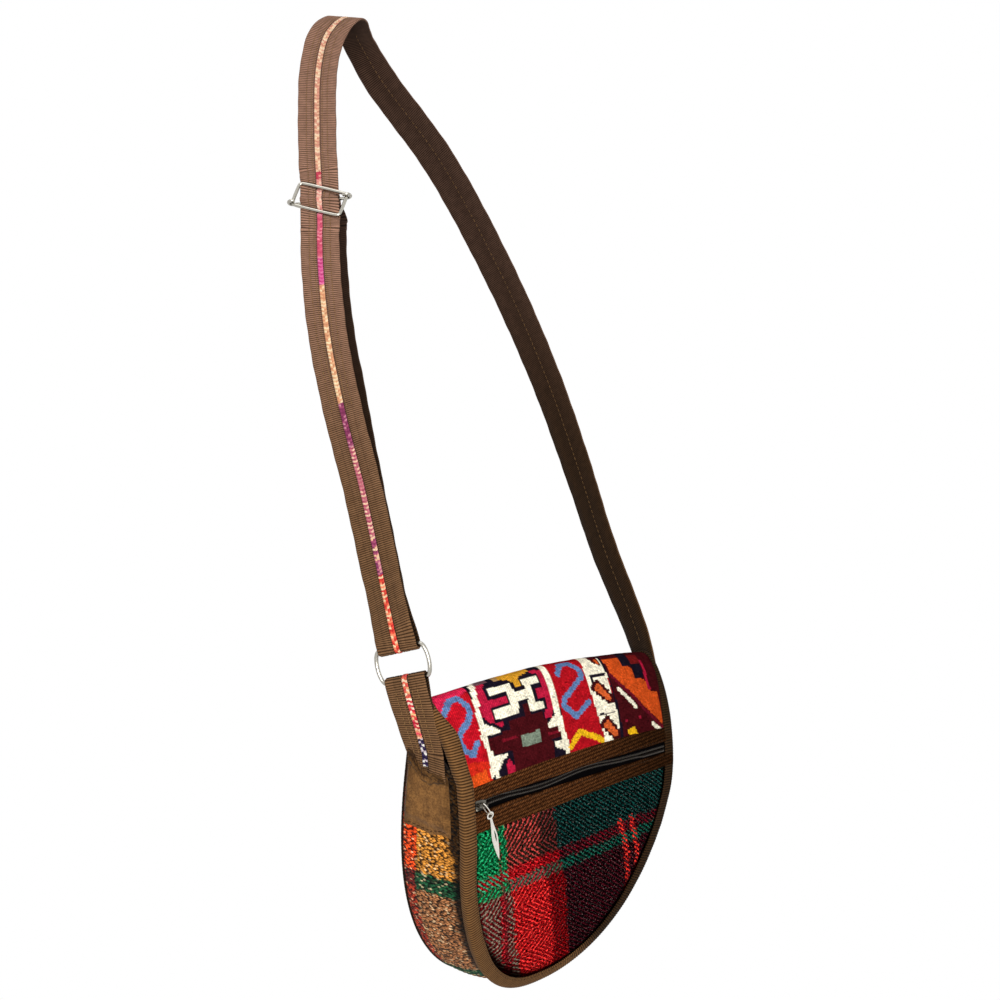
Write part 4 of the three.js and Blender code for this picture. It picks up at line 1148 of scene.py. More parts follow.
@dataclass
class Flap:
    """The rounded flap: kilim over the top, zip strips, plaid pocket, backing and its bound edge.

    Knot is the width and height of a kilim knot, fine the step of the kilim's mesh, tuck what the upper
    strip hides of it. Yarn is the plaid yarns' spacing, and lot the number of knots or yarns after which
    their uneven dye repeats.
    """

    knot: tuple[float, float] = (1.3, 1.0)
    fine: float = 0.62
    tuck: float = 3.0
    yarn: float = 2.2
    lot: int = 400
    tape: str = "#5d4126"
    tape_rib: float = 2.0

    @staticmethod
    def top_edge(x: Array) -> Array:
        """Rise of the upper strip's top edge along the zip."""
        k = x / ZIP_HALF
        return 1.8 - 3.4 * k**2 + 2.0 * k

    @staticmethod
    def zip_rise(x: Array) -> Array:
        """Rise of the zip's window along its length."""
        k = (x + 92) / 184
        return 1.2 - 2.8 * (1 - k) ** 2 + 0.25 * np.sin(x / 13)

    @staticmethod
    def low_edge(x: Array) -> Array:
        """Rise of the lower strip's bottom edge along the zip."""
        return 2.9 * x / ZIP_HALF + 0.3 * np.sin(x / 21)

    @staticmethod
    def from_edge(x: Array, runs: Array) -> Array:
        """Distance in from the flap's rounded edge.

        Args:
            x: place across.
            runs: place along the profile.

        Returns:
            One value for each place.
        """
        ax, az = round_at(np.linspace(0, 90, 300), FLAP_HALF, 0)
        edge = places(np.concatenate((-ax, ax)), np.tile(run_at(az), 2))
        return np.min([np.hypot(x[..., None] - part[:, 0], runs[..., None] - part[:, 1]).min(-1)
                       for part in np.split(edge, 6)], axis=0)

    def build(self) -> None:
        """Builds and dresses every piece of the flap."""
        self.backing()
        self.kilim()
        self.plaid()
        self.strips()
        self.binding()

    def kilim(self) -> None:
        """Tapestry panel from under the upper strip over the ridge to the back seam."""
        cols = np.linspace(-CLOTH_HALF, CLOTH_HALF, int(2 * CLOTH_HALF / self.fine))
        rows = np.linspace(0, 1, int(90 / self.fine))
        low = KILIM_RUN + self.top_edge(cols) - self.tuck
        run = low + (PROFILE_L - low) * rows[:, None]
        x = np.broadcast_to(cols, run.shape)
        u, v = x + FLAP_HALF, run - KILIM_RUN
        ku, kv = ((np.floor(place / size) + 0.5) * size for place, size in zip((u, v), self.knot))
        flat = places(ku, kv)
        chart = Chart(ku * CHART_ACROSS + 5 * wobble(flat, size=24, seed=3),
                      (CHART_TOP - kv) / CHART_DOWN + 4 * wobble(flat, size=30, seed=4))
        kilim_chart(chart)
        # Each knot takes the dye differently, and the right side is darker with painted shade, as it lies
        # away from the light.
        speck = np.random.default_rng(8).normal(1.08, 0.18, (self.lot, self.lot))
        column, row = (u / self.knot[0]).astype(int), (v / self.knot[1] + 40).astype(int)
        tone_and_painted_shade = speck[column % self.lot, row % self.lot]
        tint = chart.colour * (np.clip(tone_and_painted_shade, 0.4, 1.5) * (1 - 0.16 * ease(x, 40, 90)))[..., None]
        puff = (0.5 * wobble(places(x, run), size=45, seed=5)
                + 0.12 * np.sin(u * 2 * np.pi / self.knot[0]))
        edge = ease(np.abs(x), CLOTH_HALF - 7, CLOTH_HALF)
        out = (0.35 + puff) * (1 - edge) * ease(v, -2, 8)
        piece = cloth_sheet("kilim_cloth", flap_point(x, run, out), flap_point(x, run, -PANEL_T), 8, KILIM,
                            "kilim_panel", cloth=places(u, v), tint=tint)

    def plaid(self) -> None:
        """Pocket panel below the zip, round at the bottom."""
        top = LOW_EDGE + 1.5
        run = run_at(round_at(np.linspace(86, 0, 150), CLOTH_HALF, INSET)[1])
        run = run[run < top]
        run = np.interp(np.linspace(0, 1, 190), np.linspace(0, 1, len(run)), run)
        run[-1] = top
        half = half_at(np.interp(run, RUN, RUN_Z), CLOTH_HALF, INSET)
        x = half[:, None] * np.linspace(-1, 1, 250)
        runs = run[:, None] + self.low_edge(x) * ease(run, top - 25, top)[:, None]
        place = places(x, runs)
        # The pocket stands proud and dips into the bound seam.
        deep = self.from_edge(x, runs)
        proud = ease(runs, 128, 70)
        out = (-0.5 + (0.65 + 2.0 * proud) * ease(deep, LIP - 0.5, LIP + 8)
               + 0.4 * wobble(place, size=60, seed=11))
        out = np.where(deep < LIP, np.minimum(out, 0.1), out)
        # Painted shade in the bound seam, widest at the lower right.
        low = ease(x, -75, -40) * ease(runs, 120, 50)
        shade = 0.03 + 0.97 * ease((deep - LIP - 0.5 - 2.5 * low) / (3 + 7 * low), 0, 1)
        # The warp leans, and single yarns stray.
        lean = 0.25 + 0.1 * ease(x, -65, 0) + 0.05 * ease(x, 0, 60)
        w = x - lean * (150 - runs) + 1.2 * wobble(place, size=70, seed=12)
        f = runs - 0.045 * x
        jog = np.random.default_rng(13).normal(0, 1.0, self.lot)
        warp, weft = plaid_yarns(w + jog[(f / self.yarn).astype(int) % self.lot],
                                 f + 0.7 * jog[((w + 300) / self.yarn).astype(int) % self.lot])
        piece = cloth_sheet("plaid_wool", flap_point(x, runs, out), flap_point(x, runs, -PANEL_T), 10, PLAID,
                            "plaid_panel", cloth=places(w, f), tint=grey(shade), warp=warp, weft=weft)

    def strips(self) -> None:
        """Twill strips with folded edges above and below the zip, topstitched along the window."""
        x = np.linspace(-CLOTH_HALF, CLOTH_HALF, 260)
        t = np.array((0, 0.02, 0.05, 0.1, 0.2, 0.35, 0.5, 0.65, 0.8, 0.9, 0.95, 0.98, 1.0))
        roll = np.interp(t, *STRIP_ROLL)
        win = self.zip_rise(x)
        upper = ("upper", ZIP_RUN + WINDOW / 2 + win, KILIM_RUN + self.top_edge(x), 0.0148, 21)
        lower = ("lower", LOW_EDGE + self.low_edge(x), ZIP_RUN - WINDOW / 2 + np.minimum(win, 0), 0.0146, 22)
        for name, low, high, wide, seed in (upper, lower):
            run = low + (high - low) * t[:, None]
            xs = np.broadcast_to(x, run.shape)
            place = places(xs, run)
            out = roll[:, None] + 0.3 * wobble(place, 40, seed) * np.sin(np.pi * t)[:, None] + 0.25
            # Painted shade: darker towards the right.
            tint = rgb(TWILL.colour) * (1.1 - 0.75 * ease(xs, -20, 100))[..., None]
            inner = flap_point(xs, run, -1.5)
            piece = cloth_sheet(f"zip_strip_{name}_twill", flap_point(xs, run, out), inner, 3, STRIP,
                                f"zip_strip_{name}", cloth=place, tint=tint)
            edge = low + 1.6 if name == "upper" else high - 1.6
            inside = np.abs(x) < ZIP_HALF - 2
            line, tips = (flap_point(x, edge, rise)[inside] for rise in (0.62, 1.62))
            sewn = make_piece(f"zip_strip_{name}_stitching", STRIP_STITCH.row(line, tips), DARK_THREAD)

    def backing(self) -> None:
        """Cotton cloth behind the pocket and the kilim."""
        z = round_at(np.linspace(86, 2, 60), CLOTH_HALF, INSET)[1]
        run = np.concatenate((run_at(z), np.linspace(run_at(SIDE_Z), PROFILE_L, 44)[1:]))
        half = half_at(np.interp(run, RUN, np.maximum.accumulate(RUN_Z)), CLOTH_HALF, INSET)
        x = half[:, None] * np.linspace(-1, 1, 50)
        runs = np.broadcast_to(run[:, None], x.shape)
        place = places(x, runs)
        out = -STACK + 0.1 + 0.2 * wobble(place, size=50, seed=31)
        piece = cloth_sheet("flap_backing_cloth", flap_point(x, runs, out), flap_point(x, runs, -BACKING_IN),
                            4, LINING, "flap_backing", cloth=place)

    def edge_way(self) -> tuple[Array, Array, Array, Array, Array]:
        """The flap's edge from seam to seam round the bottom, at half ribs of its tape.

        Returns:
            Distance along it, place across, run along the profile, and the two parts of its way out.
        """
        a = np.linspace(0, 180, 2400)
        bx, bz = round_at(np.minimum(a, 180 - a), FLAP_HALF, 0)
        side = np.linspace(PROFILE_L, run_at(SIDE_Z), 200)[:-1]
        right = np.full_like(side, FLAP_HALF)
        x = np.concatenate((-right, np.where(a < 90, -bx, bx), right))
        run = np.concatenate((side, run_at(bz), side[::-1]))
        far = distance_along(places(x, run))
        at = np.arange(0, far[-1], self.tape_rib / 2)
        x, run = np.interp(at, far, x), np.interp(at, far, run)
        dx, dr = np.gradient(x), np.gradient(run)
        size = np.hypot(dx, dr)
        keep = np.hanning(25) / np.hanning(25).sum()
        ox, oz = (np.convolve(np.pad(o, 12, mode="edge"), keep, "valid") for o in (dr / size, -dx / size))
        return at, x, run, ox, oz

    def binding(self) -> None:
        """Ribbed tape folded over the flap's edge, from seam to seam round the bottom."""
        at, x, run, ox, oz = self.edge_way()
        back = -(STACK + 0.3 + 0.9)
        # Section from the front lip over the edge to the back and inside again, as in and out. Then how far
        # each of its points moves with the ribs, and how far with the tape's slow wave.
        section = np.array((
            (-9.6, 0.25), (-9.7, 0.9), (-9.3, 1.3), (-8.3, 1.22), (-7.4, 1.4), (-5, 1.5), (-2.6, 1.42),
            (-1.0, 1.0), (-0.15, 0.1), (0, -1.6), (0, -3.6), (-0.3, -5.0), (-1.4, back - 0.1), (-5, back),
            (-9.5, back), (-9.5, back + 0.8), (-1.0, back + 0.8), (-1.0, 0.25)))
        push = np.array((0, 0.3, 0.8, 0.5, *[1] * 10, 0.5, 0, 0, 0))
        lean = np.array((-1, -1, -1, -0.7, -0.5, *[0] * 12, -0.5))
        rib = in_turn(len(at), 0.13, -0.13)[:, None]
        wave = (0.35 * np.sin(at / 9.0) * np.sin(at / 31.0))[:, None]
        normal = unit((section - (-4.5, -2.4)) * (0.6, 1.0)) * push[:, None]
        # Over the top the tape turns under, and less of it shows from the front.
        least, first, last = (np.where(x < 0, a, b) for a, b in ((0.3, 0.42), (214, 186), (244, 238)))
        lip = 1 - (1 - least) * ease((run - first) / (last - first), 0, 1) * (run > run_at(SIDE_Z))
        front = np.arange(len(section)) < 8
        inward = section[:, 0] * np.where(front, lip[:, None], 1.0) + rib * normal[:, 0] - 0.5 * wave * lean
        # Pressed flat on the right, where the pull hangs over it when the zip is open.
        pressed = 0.65 * ease(x, 75, 88) * ease(run, 90, 105) * ease(run, 190, 175)
        out = section[:, 1] - pressed[:, None] * np.maximum(section[:, 1] - 0.25, 0) + rib * normal[:, 1]
        runs = np.maximum(0, run[:, None] + inward * oz[:, None])
        loops = flap_point(x[:, None] + inward * ox[:, None], runs, out)
        low = ease(run, 110, 60)
        # Painted light on the ribs, painted shade in the grooves between them and on the right side.
        painted_shade_right = np.where(x > 0, ease((x - 50 + 25 * low) / (45 - 10 * low), 0, 1), 0)
        painted_light_and_shade = in_turn(len(at), 2.4, 0.06) * (1 - 0.8 * painted_shade_right)
        tint = np.broadcast_to(rgb(self.tape) * painted_light_and_shade[:, None, None], loops.shape).reshape(-1, 3)
        piece = make_piece("flap_binding_tape", bar(loops), TAPE, "flap_binding",
                           cloth=spread(at[:, None], distance_along(section)), tint=tint)
        seen, sewn_in = lip > 0.5, 8.2 * lip
        line, tips = (flap_point(x - sewn_in * ox, np.maximum(0, run - sewn_in * oz), rise - pressed)[seen]
                      for rise in (1.22, 2.22))
        sewn = make_piece("flap_binding_stitching", BINDING_STITCH.row(line, tips), DARK_THREAD)


@dataclass
class Body:
    """The bag under the flap: back, front, woollen gusset, lining, seam tape and suede patches.

    Cell is the size of the gusset's lumps; wall and mouth are the lining's thickness and the part of its
    depth that hangs straight.
    """

    cell: float = 4.4
    wall: float = 0.7
    mouth: float = 0.15

    def build(self) -> None:
        """Builds and dresses every piece of the body."""
        self.front()
        self.back()
        self.gusset()
        self.back_edge()
        self.lining()
        for side, name in ((-1, "left"), (1, "right")):
            self.patch(side, name)

    @staticmethod
    def heights(half: float, low: float, top: float, count: int) -> Array:
        """Heights of a panel's rows, from its round bottom up its straight sides."""
        bottom = round_at(np.linspace(86, 2, 60), half, low)[1]
        return np.concatenate((bottom, np.linspace(SIDE_Z, top, count)[1:]))

    def front(self) -> None:
        """Twill front panel under the flap."""
        half, low = FRONT_HALF - GUSSET_T - 0.4, FRONT_LOW + GUSSET_T + 0.5
        z = self.heights(half, low, GUSSET_TOP - 2, 5)
        x = half_at(z, half, low)[:, None] * np.linspace(-1, 1, 60)
        runs = np.broadcast_to(run_at(z)[:, None], x.shape)
        place = places(x, runs)
        out = -SETBACK + 0.25 * wobble(place, size=60, seed=41)
        inner = flap_point(x, runs, -SETBACK - CLOTH_T)
        front = cloth_sheet("front_panel_twill", flap_point(x, runs, out), inner, 5, TWILL, "front_panel",
                            cloth=place)

    def back(self) -> None:
        """Twill back panel, sewn to the flap along its top."""
        half, low, top = BACK_HALF - GUSSET_T - 0.9, BACK_LOW + GUSSET_T + 0.9, SEAM_Z - 0.3
        z = self.heights(half, low, top, 16)
        k = np.clip((z - GUSSET_TOP) / (top - GUSSET_TOP), 0, 1)
        wide = np.where(z > GUSSET_TOP, half + (FLAP_HALF - 0.4 - half) * k, half_at(z, half, low))[:, None]
        x = wide * np.linspace(-1, 1, 70)
        zz = z[:, None] - k[:, None] * RIDGE_CROWN * (x / FLAP_HALF) ** 2
        place = places(x, zz)
        rim = 1 - ease(np.abs(x) / wide, 0.9, 1)
        rim = rim * ease(SEAM_Z - zz, 0, 10) * ease(zz, low, low + 12)
        y = BACK_Y + (0.5 + 0.5 * wobble(place, size=70, seed=42)) * rim
        inner = places(x, BACK_Y - CLOTH_T - 0.2, zz)
        back = cloth_sheet("back_panel_twill", places(x, y, zz), inner, 5, TWILL, "back_panel", cloth=place)
        seam = places(x[-1], y[-1] + 0.1, zz[-1] - 3)
        sewn = make_piece("back_seam_stitching", SEAM_STITCH.row(seam, seam + (0, 1, 0)), DARK_THREAD)

    @staticmethod
    def gusset_chart(s: Array, z: Array) -> Array:
        """Woven fields of the gusset: bands across an orange and a specked column.

        Args:
            s: place from the front rim to the back rim.
            z: height.

        Returns:
            Linear colour at each place, and how brightly it is lit: painted shade along the front seam
            and near the top.
        """
        gold, orange, beige, red, green, wine, tan = (
            "#d68c36", "#f4501c", "#a86e44", "#b0381f", "#1c5232", "#7a1f1c", "#8f6236")
        band, lower = 96 + 7 * (1 - s), 22 - 14 * (s - 0.5)
        inside, below, foot = np.abs(z - band) < 7, z < band - 7, z <= lower - 10
        specked = np.sin(z / 6 + s * 9) > 0
        tint = np.zeros((*s.shape, 3))
        for colour, where in (
                (gold, s <= 0.74), (orange, s > 0.74), (beige, below & (s <= 0.8)), (red, below & (s > 0.8)),
                (green, inside & (s <= 0.78)), (wine, inside & (s > 0.78)), (green, z < lower),
                (tan, foot & specked), (beige, foot & ~specked)):
            tint[where] = rgb(colour)
        # Painted shade: lit falls from 1 in the open to 0.05 along the front seam and near the top.
        lit = ease(s - 0.1 * ease(z, 124, 134), 0.03, 0.17) * ease(z, 176, 170)
        return np.concatenate((tint, (0.05 + 0.95 * lit)[..., None]), -1)

    def gusset(self) -> None:
        """Coarse woollen strip round the sides and the bottom."""
        q, s = np.meshgrid(np.linspace(-1, 1, 560), np.linspace(0, 1, 50), indexing="ij")
        base = gusset_base(q, s)
        deep = s * np.linalg.norm(base[:, -1] - base[:, 0], axis=1)[:, None]
        along = np.broadcast_to(distance_along(base[:, 25])[:, None], s.shape)
        place = places(deep, along)
        tint = self.gusset_chart(s + 0.03 * wobble(place, size=14, seed=51),
                                 base[..., 2] + 1.6 * wobble(place, size=9, seed=52))
        turn = 2 * np.pi / self.cell
        lump = 0.3 * np.sin(deep * turn + along * 0.7) * np.sin(along * turn)
        rim = ease(np.minimum(s, 1 - s), 0, 0.08)
        piece = cloth_sheet("gusset_wool", gusset_point(q, s, (0.2 + lump) * rim),
                            gusset_point(q, np.minimum(s, 0.985), -GUSSET_T), 7, GUSSET_WOOL, "gusset",
                            cloth=place, tint=tint)

    def back_edge(self) -> None:
        """Narrow dark tape over the gusset's back rim."""
        q = np.linspace(-1, 1, 420)
        p, tips = (gusset_point(q, np.ones_like(q), out) for out in (0.0, 1.0))
        out = unit((tips - p) * (1, 0, 1))
        a, b = np.array(((-1.9, 0.05), (-1.9, 0.9), (-1.4, 1.6), (-0.5, 1.95), (0.4, 1.6), (0.95, 0.9),
                         (1.1, 0.05))).T
        loops = p[:, None] + out[:, None] * a[:, None]
        loops[..., 1] = BACK_Y - 0.1 + b + in_turn(len(q), 0.08, -0.08)[:, None] * (b > 0.5)
        make_piece("back_edge_tape", bar(loops), EDGE, "back_binding",
                   cloth=spread(distance_along(p)[:, None], a))

    def lining(self) -> None:
        """Cotton lining: an open pocket inside the body."""
        def height(k: float, top: float, half: float, low: float) -> float:
            """Height of a ring: straight down from the mouth, then round the bottom."""
            if k <= self.mouth:
                return top + (SIDE_Z - top) * k / self.mouth
            return round_at(88 * (k - self.mouth) / (1 - self.mouth), half, low)[1]

        def rings(inset: float) -> Array:
            """Rings of the pocket.

            Args:
                inset: how far they are drawn in.

            Returns:
                Loops of places, from the mouth to the bottom.
            """
            fh, fl = FRONT_HALF - GUSSET_T - 1 - inset, FRONT_LOW + GUSSET_T + 1.2 + inset
            bh, bl = BACK_HALF - GUSSET_T - 1.6 - inset, BACK_LOW + GUSSET_T + 1.6 + inset
            u, v = np.linspace(-1, 1, 24), np.linspace(0, 1, 8)[1:-1, None]
            found = []
            for k in np.linspace(0, 1, 40):
                fz, bz = height(k, GUSSET_TOP - 4, fh, fl), height(k, SEAM_Z - 12, bh, bl)
                near = flap_point(half_at(fz, fh, fl) * u, run_at(fz), -(SETBACK + CLOTH_T + 0.3 + inset))
                away = places(half_at(bz, bh, bl) * u, BACK_Y - CLOTH_T - 0.6 - inset, bz)
                right, left = near[-1] + (away[-1] - near[-1]) * v, away[0] + (near[0] - away[0]) * v
                found.append(np.vstack((near, right, away[::-1], left)))
            return np.array(found)

        outer, inner = rings(0), rings(self.wall)
        count, m = outer.shape[:2]
        o = np.arange(count * m).reshape(count, m)
        n = o + count * m
        faces = []
        for a, flip in ((o, False), (n, True)):
            b = np.roll(a, -1, axis=1)
            quads = np.stack((a[:-1], b[:-1], b[1:], a[1:]), -1).reshape(-1, 4).tolist()
            quads.append(a[-1].tolist())
            faces += [f[::-1] for f in quads] if flip else quads
        mouth = np.stack((o[0], n[0], np.roll(n[0], -1), np.roll(o[0], -1)), -1).tolist()
        verts = np.vstack((outer.reshape(-1, 3), inner.reshape(-1, 3)))
        piece = make_piece("pocket_lining", (verts, outward(verts, faces + mouth)), LINING, "lining",
                           cloth=verts[:, (0, 2)])

    def patch(self, side: int, name: str) -> None:
        """Suede patch over the sewn webbing, with its turned and stitched top edge.

        Args:
            side: -1 on the left, 1 on the right.
            name: the same in a word.
        """
        s, t = np.meshgrid(np.linspace(*PATCH_S, 70), np.linspace(0, 1, 90))

        def ridge(at: Array | float, width: float) -> Array:
            """A narrow rise along the patch, at a part of its height."""
            return np.exp(-((t - at) / width) ** 2)

        ragged = 0.6 * np.sin(s * 40 + side) + 0.5 * np.sin(s * 17) - 5.5 + 11.0 * ease(s, 0.5, 1.0)
        z = PATCH_LOW + 1 + 2.5 * np.sin(s * 7) * (s < 0.5) + t * (GUSSET_TOP - 1.5 - PATCH_LOW + ragged * t)
        place = places(s * 48, z)
        # Where the webbing lies under the suede, which creases over its end.
        over = 1 - ease(np.abs(s - SEWN_AT[side]), 0.34, 0.44)
        over = over * ease(z, TAB_END_Z - 8, TAB_END_Z - 1)
        crease = (1.5 * ridge(0.86 + 0.03 * np.sin(s * 9), 0.035) + 0.7 * ridge(0.97, 0.025)
                  - ridge(0.79 + 0.02 * np.sin(s * 11 + 1), 0.03))
        sides, ends = np.minimum(s - PATCH_S[0], PATCH_S[1] - s) * 14, np.minimum(t * 9, (1 - t) * 12)
        rim = ease(np.minimum(sides, ends), 0, 1)
        inner = 0.35 + 2.65 * over
        lump = crease * over + 0.3 * wobble(place, 11, 61 + side)
        skin = np.maximum(1.3 + 2.3 * over + lump * rim - 0.7 * (1 - rim), inner + 0.35)
        fold = ridge(0.83 + 0.03 * np.sin(s * 9), 0.016) + 0.7 * ridge(0.93 - 0.02 * np.sin(s * 13), 0.013)
        # Painted shade along the creases, and darker towards the top and the front and back ends.
        tone_and_painted_shade = 1.15 - 0.5 * ease(t, 0.72, 0.9) - 0.45 * np.abs(2.3 * s - 1.2) ** 3 - 0.6 * fold * over
        q = gusset_q(z, side)
        piece = cloth_sheet(f"{name}_patch_suede", gusset_point(q, s, skin), gusset_point(q, s, inner), 6,
                            SUEDE, f"{name}_patch", cloth=place, tint=grey(np.clip(tone_and_painted_shade, 0.2, 1.15)))
        parts = []
        for heights in ((0.9, 0.93), (0.06, 0.05)):
            ss, tt = np.linspace(0.2, 0.92, 60), np.linspace(*heights, 60)
            i, j = (tt * 89).astype(int), np.searchsorted(s[0], ss)
            line, tips = (gusset_point(gusset_q(z[i, j], side), ss, skin[i, j] + rise)
                          for rise in (0.05, 1.05))
            parts.append(PATCH_STITCH.row(line, tips))
        # Threads frayed from the raw edge.
        rng = np.random.default_rng(70 + side)
        k = np.linspace(0, 1, 7)
        for start, depth in zip(rng.uniform(0.62, 0.97, 9), rng.uniform(4, 11, 9)):
            j = int(np.searchsorted(s[0], start))
            zz = z[-1, j] + 1.5 * np.sin(np.pi * k) - depth * k**2
            ss = np.clip(start + rng.uniform(-0.12, 0.12) * k, 0.02, 0.96)
            rise = skin[-2, j] + 0.3 + 1.2 * np.sin(np.pi * k) * rng.uniform(0.2, 1)
            thread = gusset_point(gusset_q(zz, side), ss, rise)
            parts.append(bar(wire_loops(thread, 0.22, 5, np.array((0.3, 0.9, 0.3)))))
        sewn = make_piece(f"{name}_patch_stitching", joined(parts), DARK_THREAD)


@dataclass
class Stations:
    """Webbing along its way: centre, outward side, slant, and its place at the wire slide."""

    p: Array
    side: Array
    slant: Array
    rise: Array
    sign: Array

    @classmethod
    def of(cls, p: Array, side: Array, slant: Array | float = 0.0, rise: Array | float = 1000.0,
           sign: float = 0.0) -> "Stations":
        """Stations from places and sides.

        Args:
            p: centres.
            side: outward directions.
            slant: slant of the rows.
            rise: height above the slide's middle.
            sign: 1 or -1 where the slide bends the webbing.

        Returns:
            The stations.
        """
        n = len(p)
        return cls(np.asarray(p, float), np.asarray(side, float), np.broadcast_to(slant, n).astype(float),
                   np.broadcast_to(rise, n).astype(float), np.full(n, float(sign)))

    def __add__(self, other: "Stations") -> "Stations":
        """These stations followed by others."""
        return Stations(*(np.concatenate(both) for both in zip(self.fields(), other.fields())))

    def fields(self) -> tuple[Array, ...]:
        """All the values, in order."""
        return self.p, self.side, self.slant, self.rise, self.sign

    def pick(self, where: Array) -> "Stations":
        """Some of the stations."""
        return Stations(*(values[where] for values in self.fields()))

    def above(self, height: float, end: int) -> "Stations":
        """Stations above a height.

        Args:
            height: the height.
            end: number of the first one that is left out.

        Returns:
            The stations that are kept.
        """
        where = self.p[:, 2] > height
        where[end:] = False
        return self.pick(where)

    def even(self, step: float) -> "Stations":
        """The same way at an even spacing.

        Args:
            step: the spacing.

        Returns:
            New stations.
        """
        far = self.far()
        at = np.arange(0, far[-1], step)
        way = Stations(*(values_at(at, far, values) for values in self.fields()))
        way.side = unit(way.side)
        return way

    def far(self) -> Array:
        """Distance along the way."""
        return distance_along(self.p)

    def loops(self, w: Array, n: Array, slope: Array | float = 0.0) -> Array:
        """Section points at each station.

        Args:
            w: place across, for each section point or station and section point.
            n: place out, likewise.
            slope: how much the rows slant besides.

        Returns:
            Loops of places.
        """
        along = unit(np.gradient(self.p, axis=0))
        across = unit(np.cross(self.side, along))
        out = np.cross(along, across)
        slant = self.slant[:, None]
        w, n, _ = np.broadcast_arrays(w, n, slant)
        lift = self.sign[:, None] * weave_lift(self.rise[:, None] - slant * w, w)
        skew = slant + np.broadcast_to(slope, len(self.p))[:, None]
        return (self.p[:, None] + across[:, None] * w[..., None] + along[:, None] * (skew * w)[..., None]
                + out[:, None] * (n + lift)[..., None])


def weave_lift(up: Array, across: Array) -> Array:
    """How far the slide pushes the webbing out: under the frame's bars, over the slide bar.

    Args:
        up: height above the slide's middle.
        across: place across the webbing.

    Returns:
        One value for each place.
    """
    def hump(d: Array, half: float) -> Array:
        """A smooth rise of a half width."""
        return np.where(np.abs(d) < half, np.cos(np.pi * d / (2 * half)) ** 2, 0)

    slope = across * SLIDE_SLOPE
    return BUMP * hump(up, 3.6) - DIP * (hump(up + slope - FRAME_UP, 4) + hump(up + slope + FRAME_UP, 4))


def slide_slant(up: Array) -> Array:
    """Slant of the webbing's rows at the slide.

    Args:
        up: height above the slide's middle.

    Returns:
        Rise for each millimetre across.
    """
    far = np.abs(up)
    outside = np.maximum(0, (SLIDE_REACH - far) / (SLIDE_REACH - FRAME_UP))
    return SLIDE_SLOPE * np.where(far < FRAME_UP, far / FRAME_UP, outside)


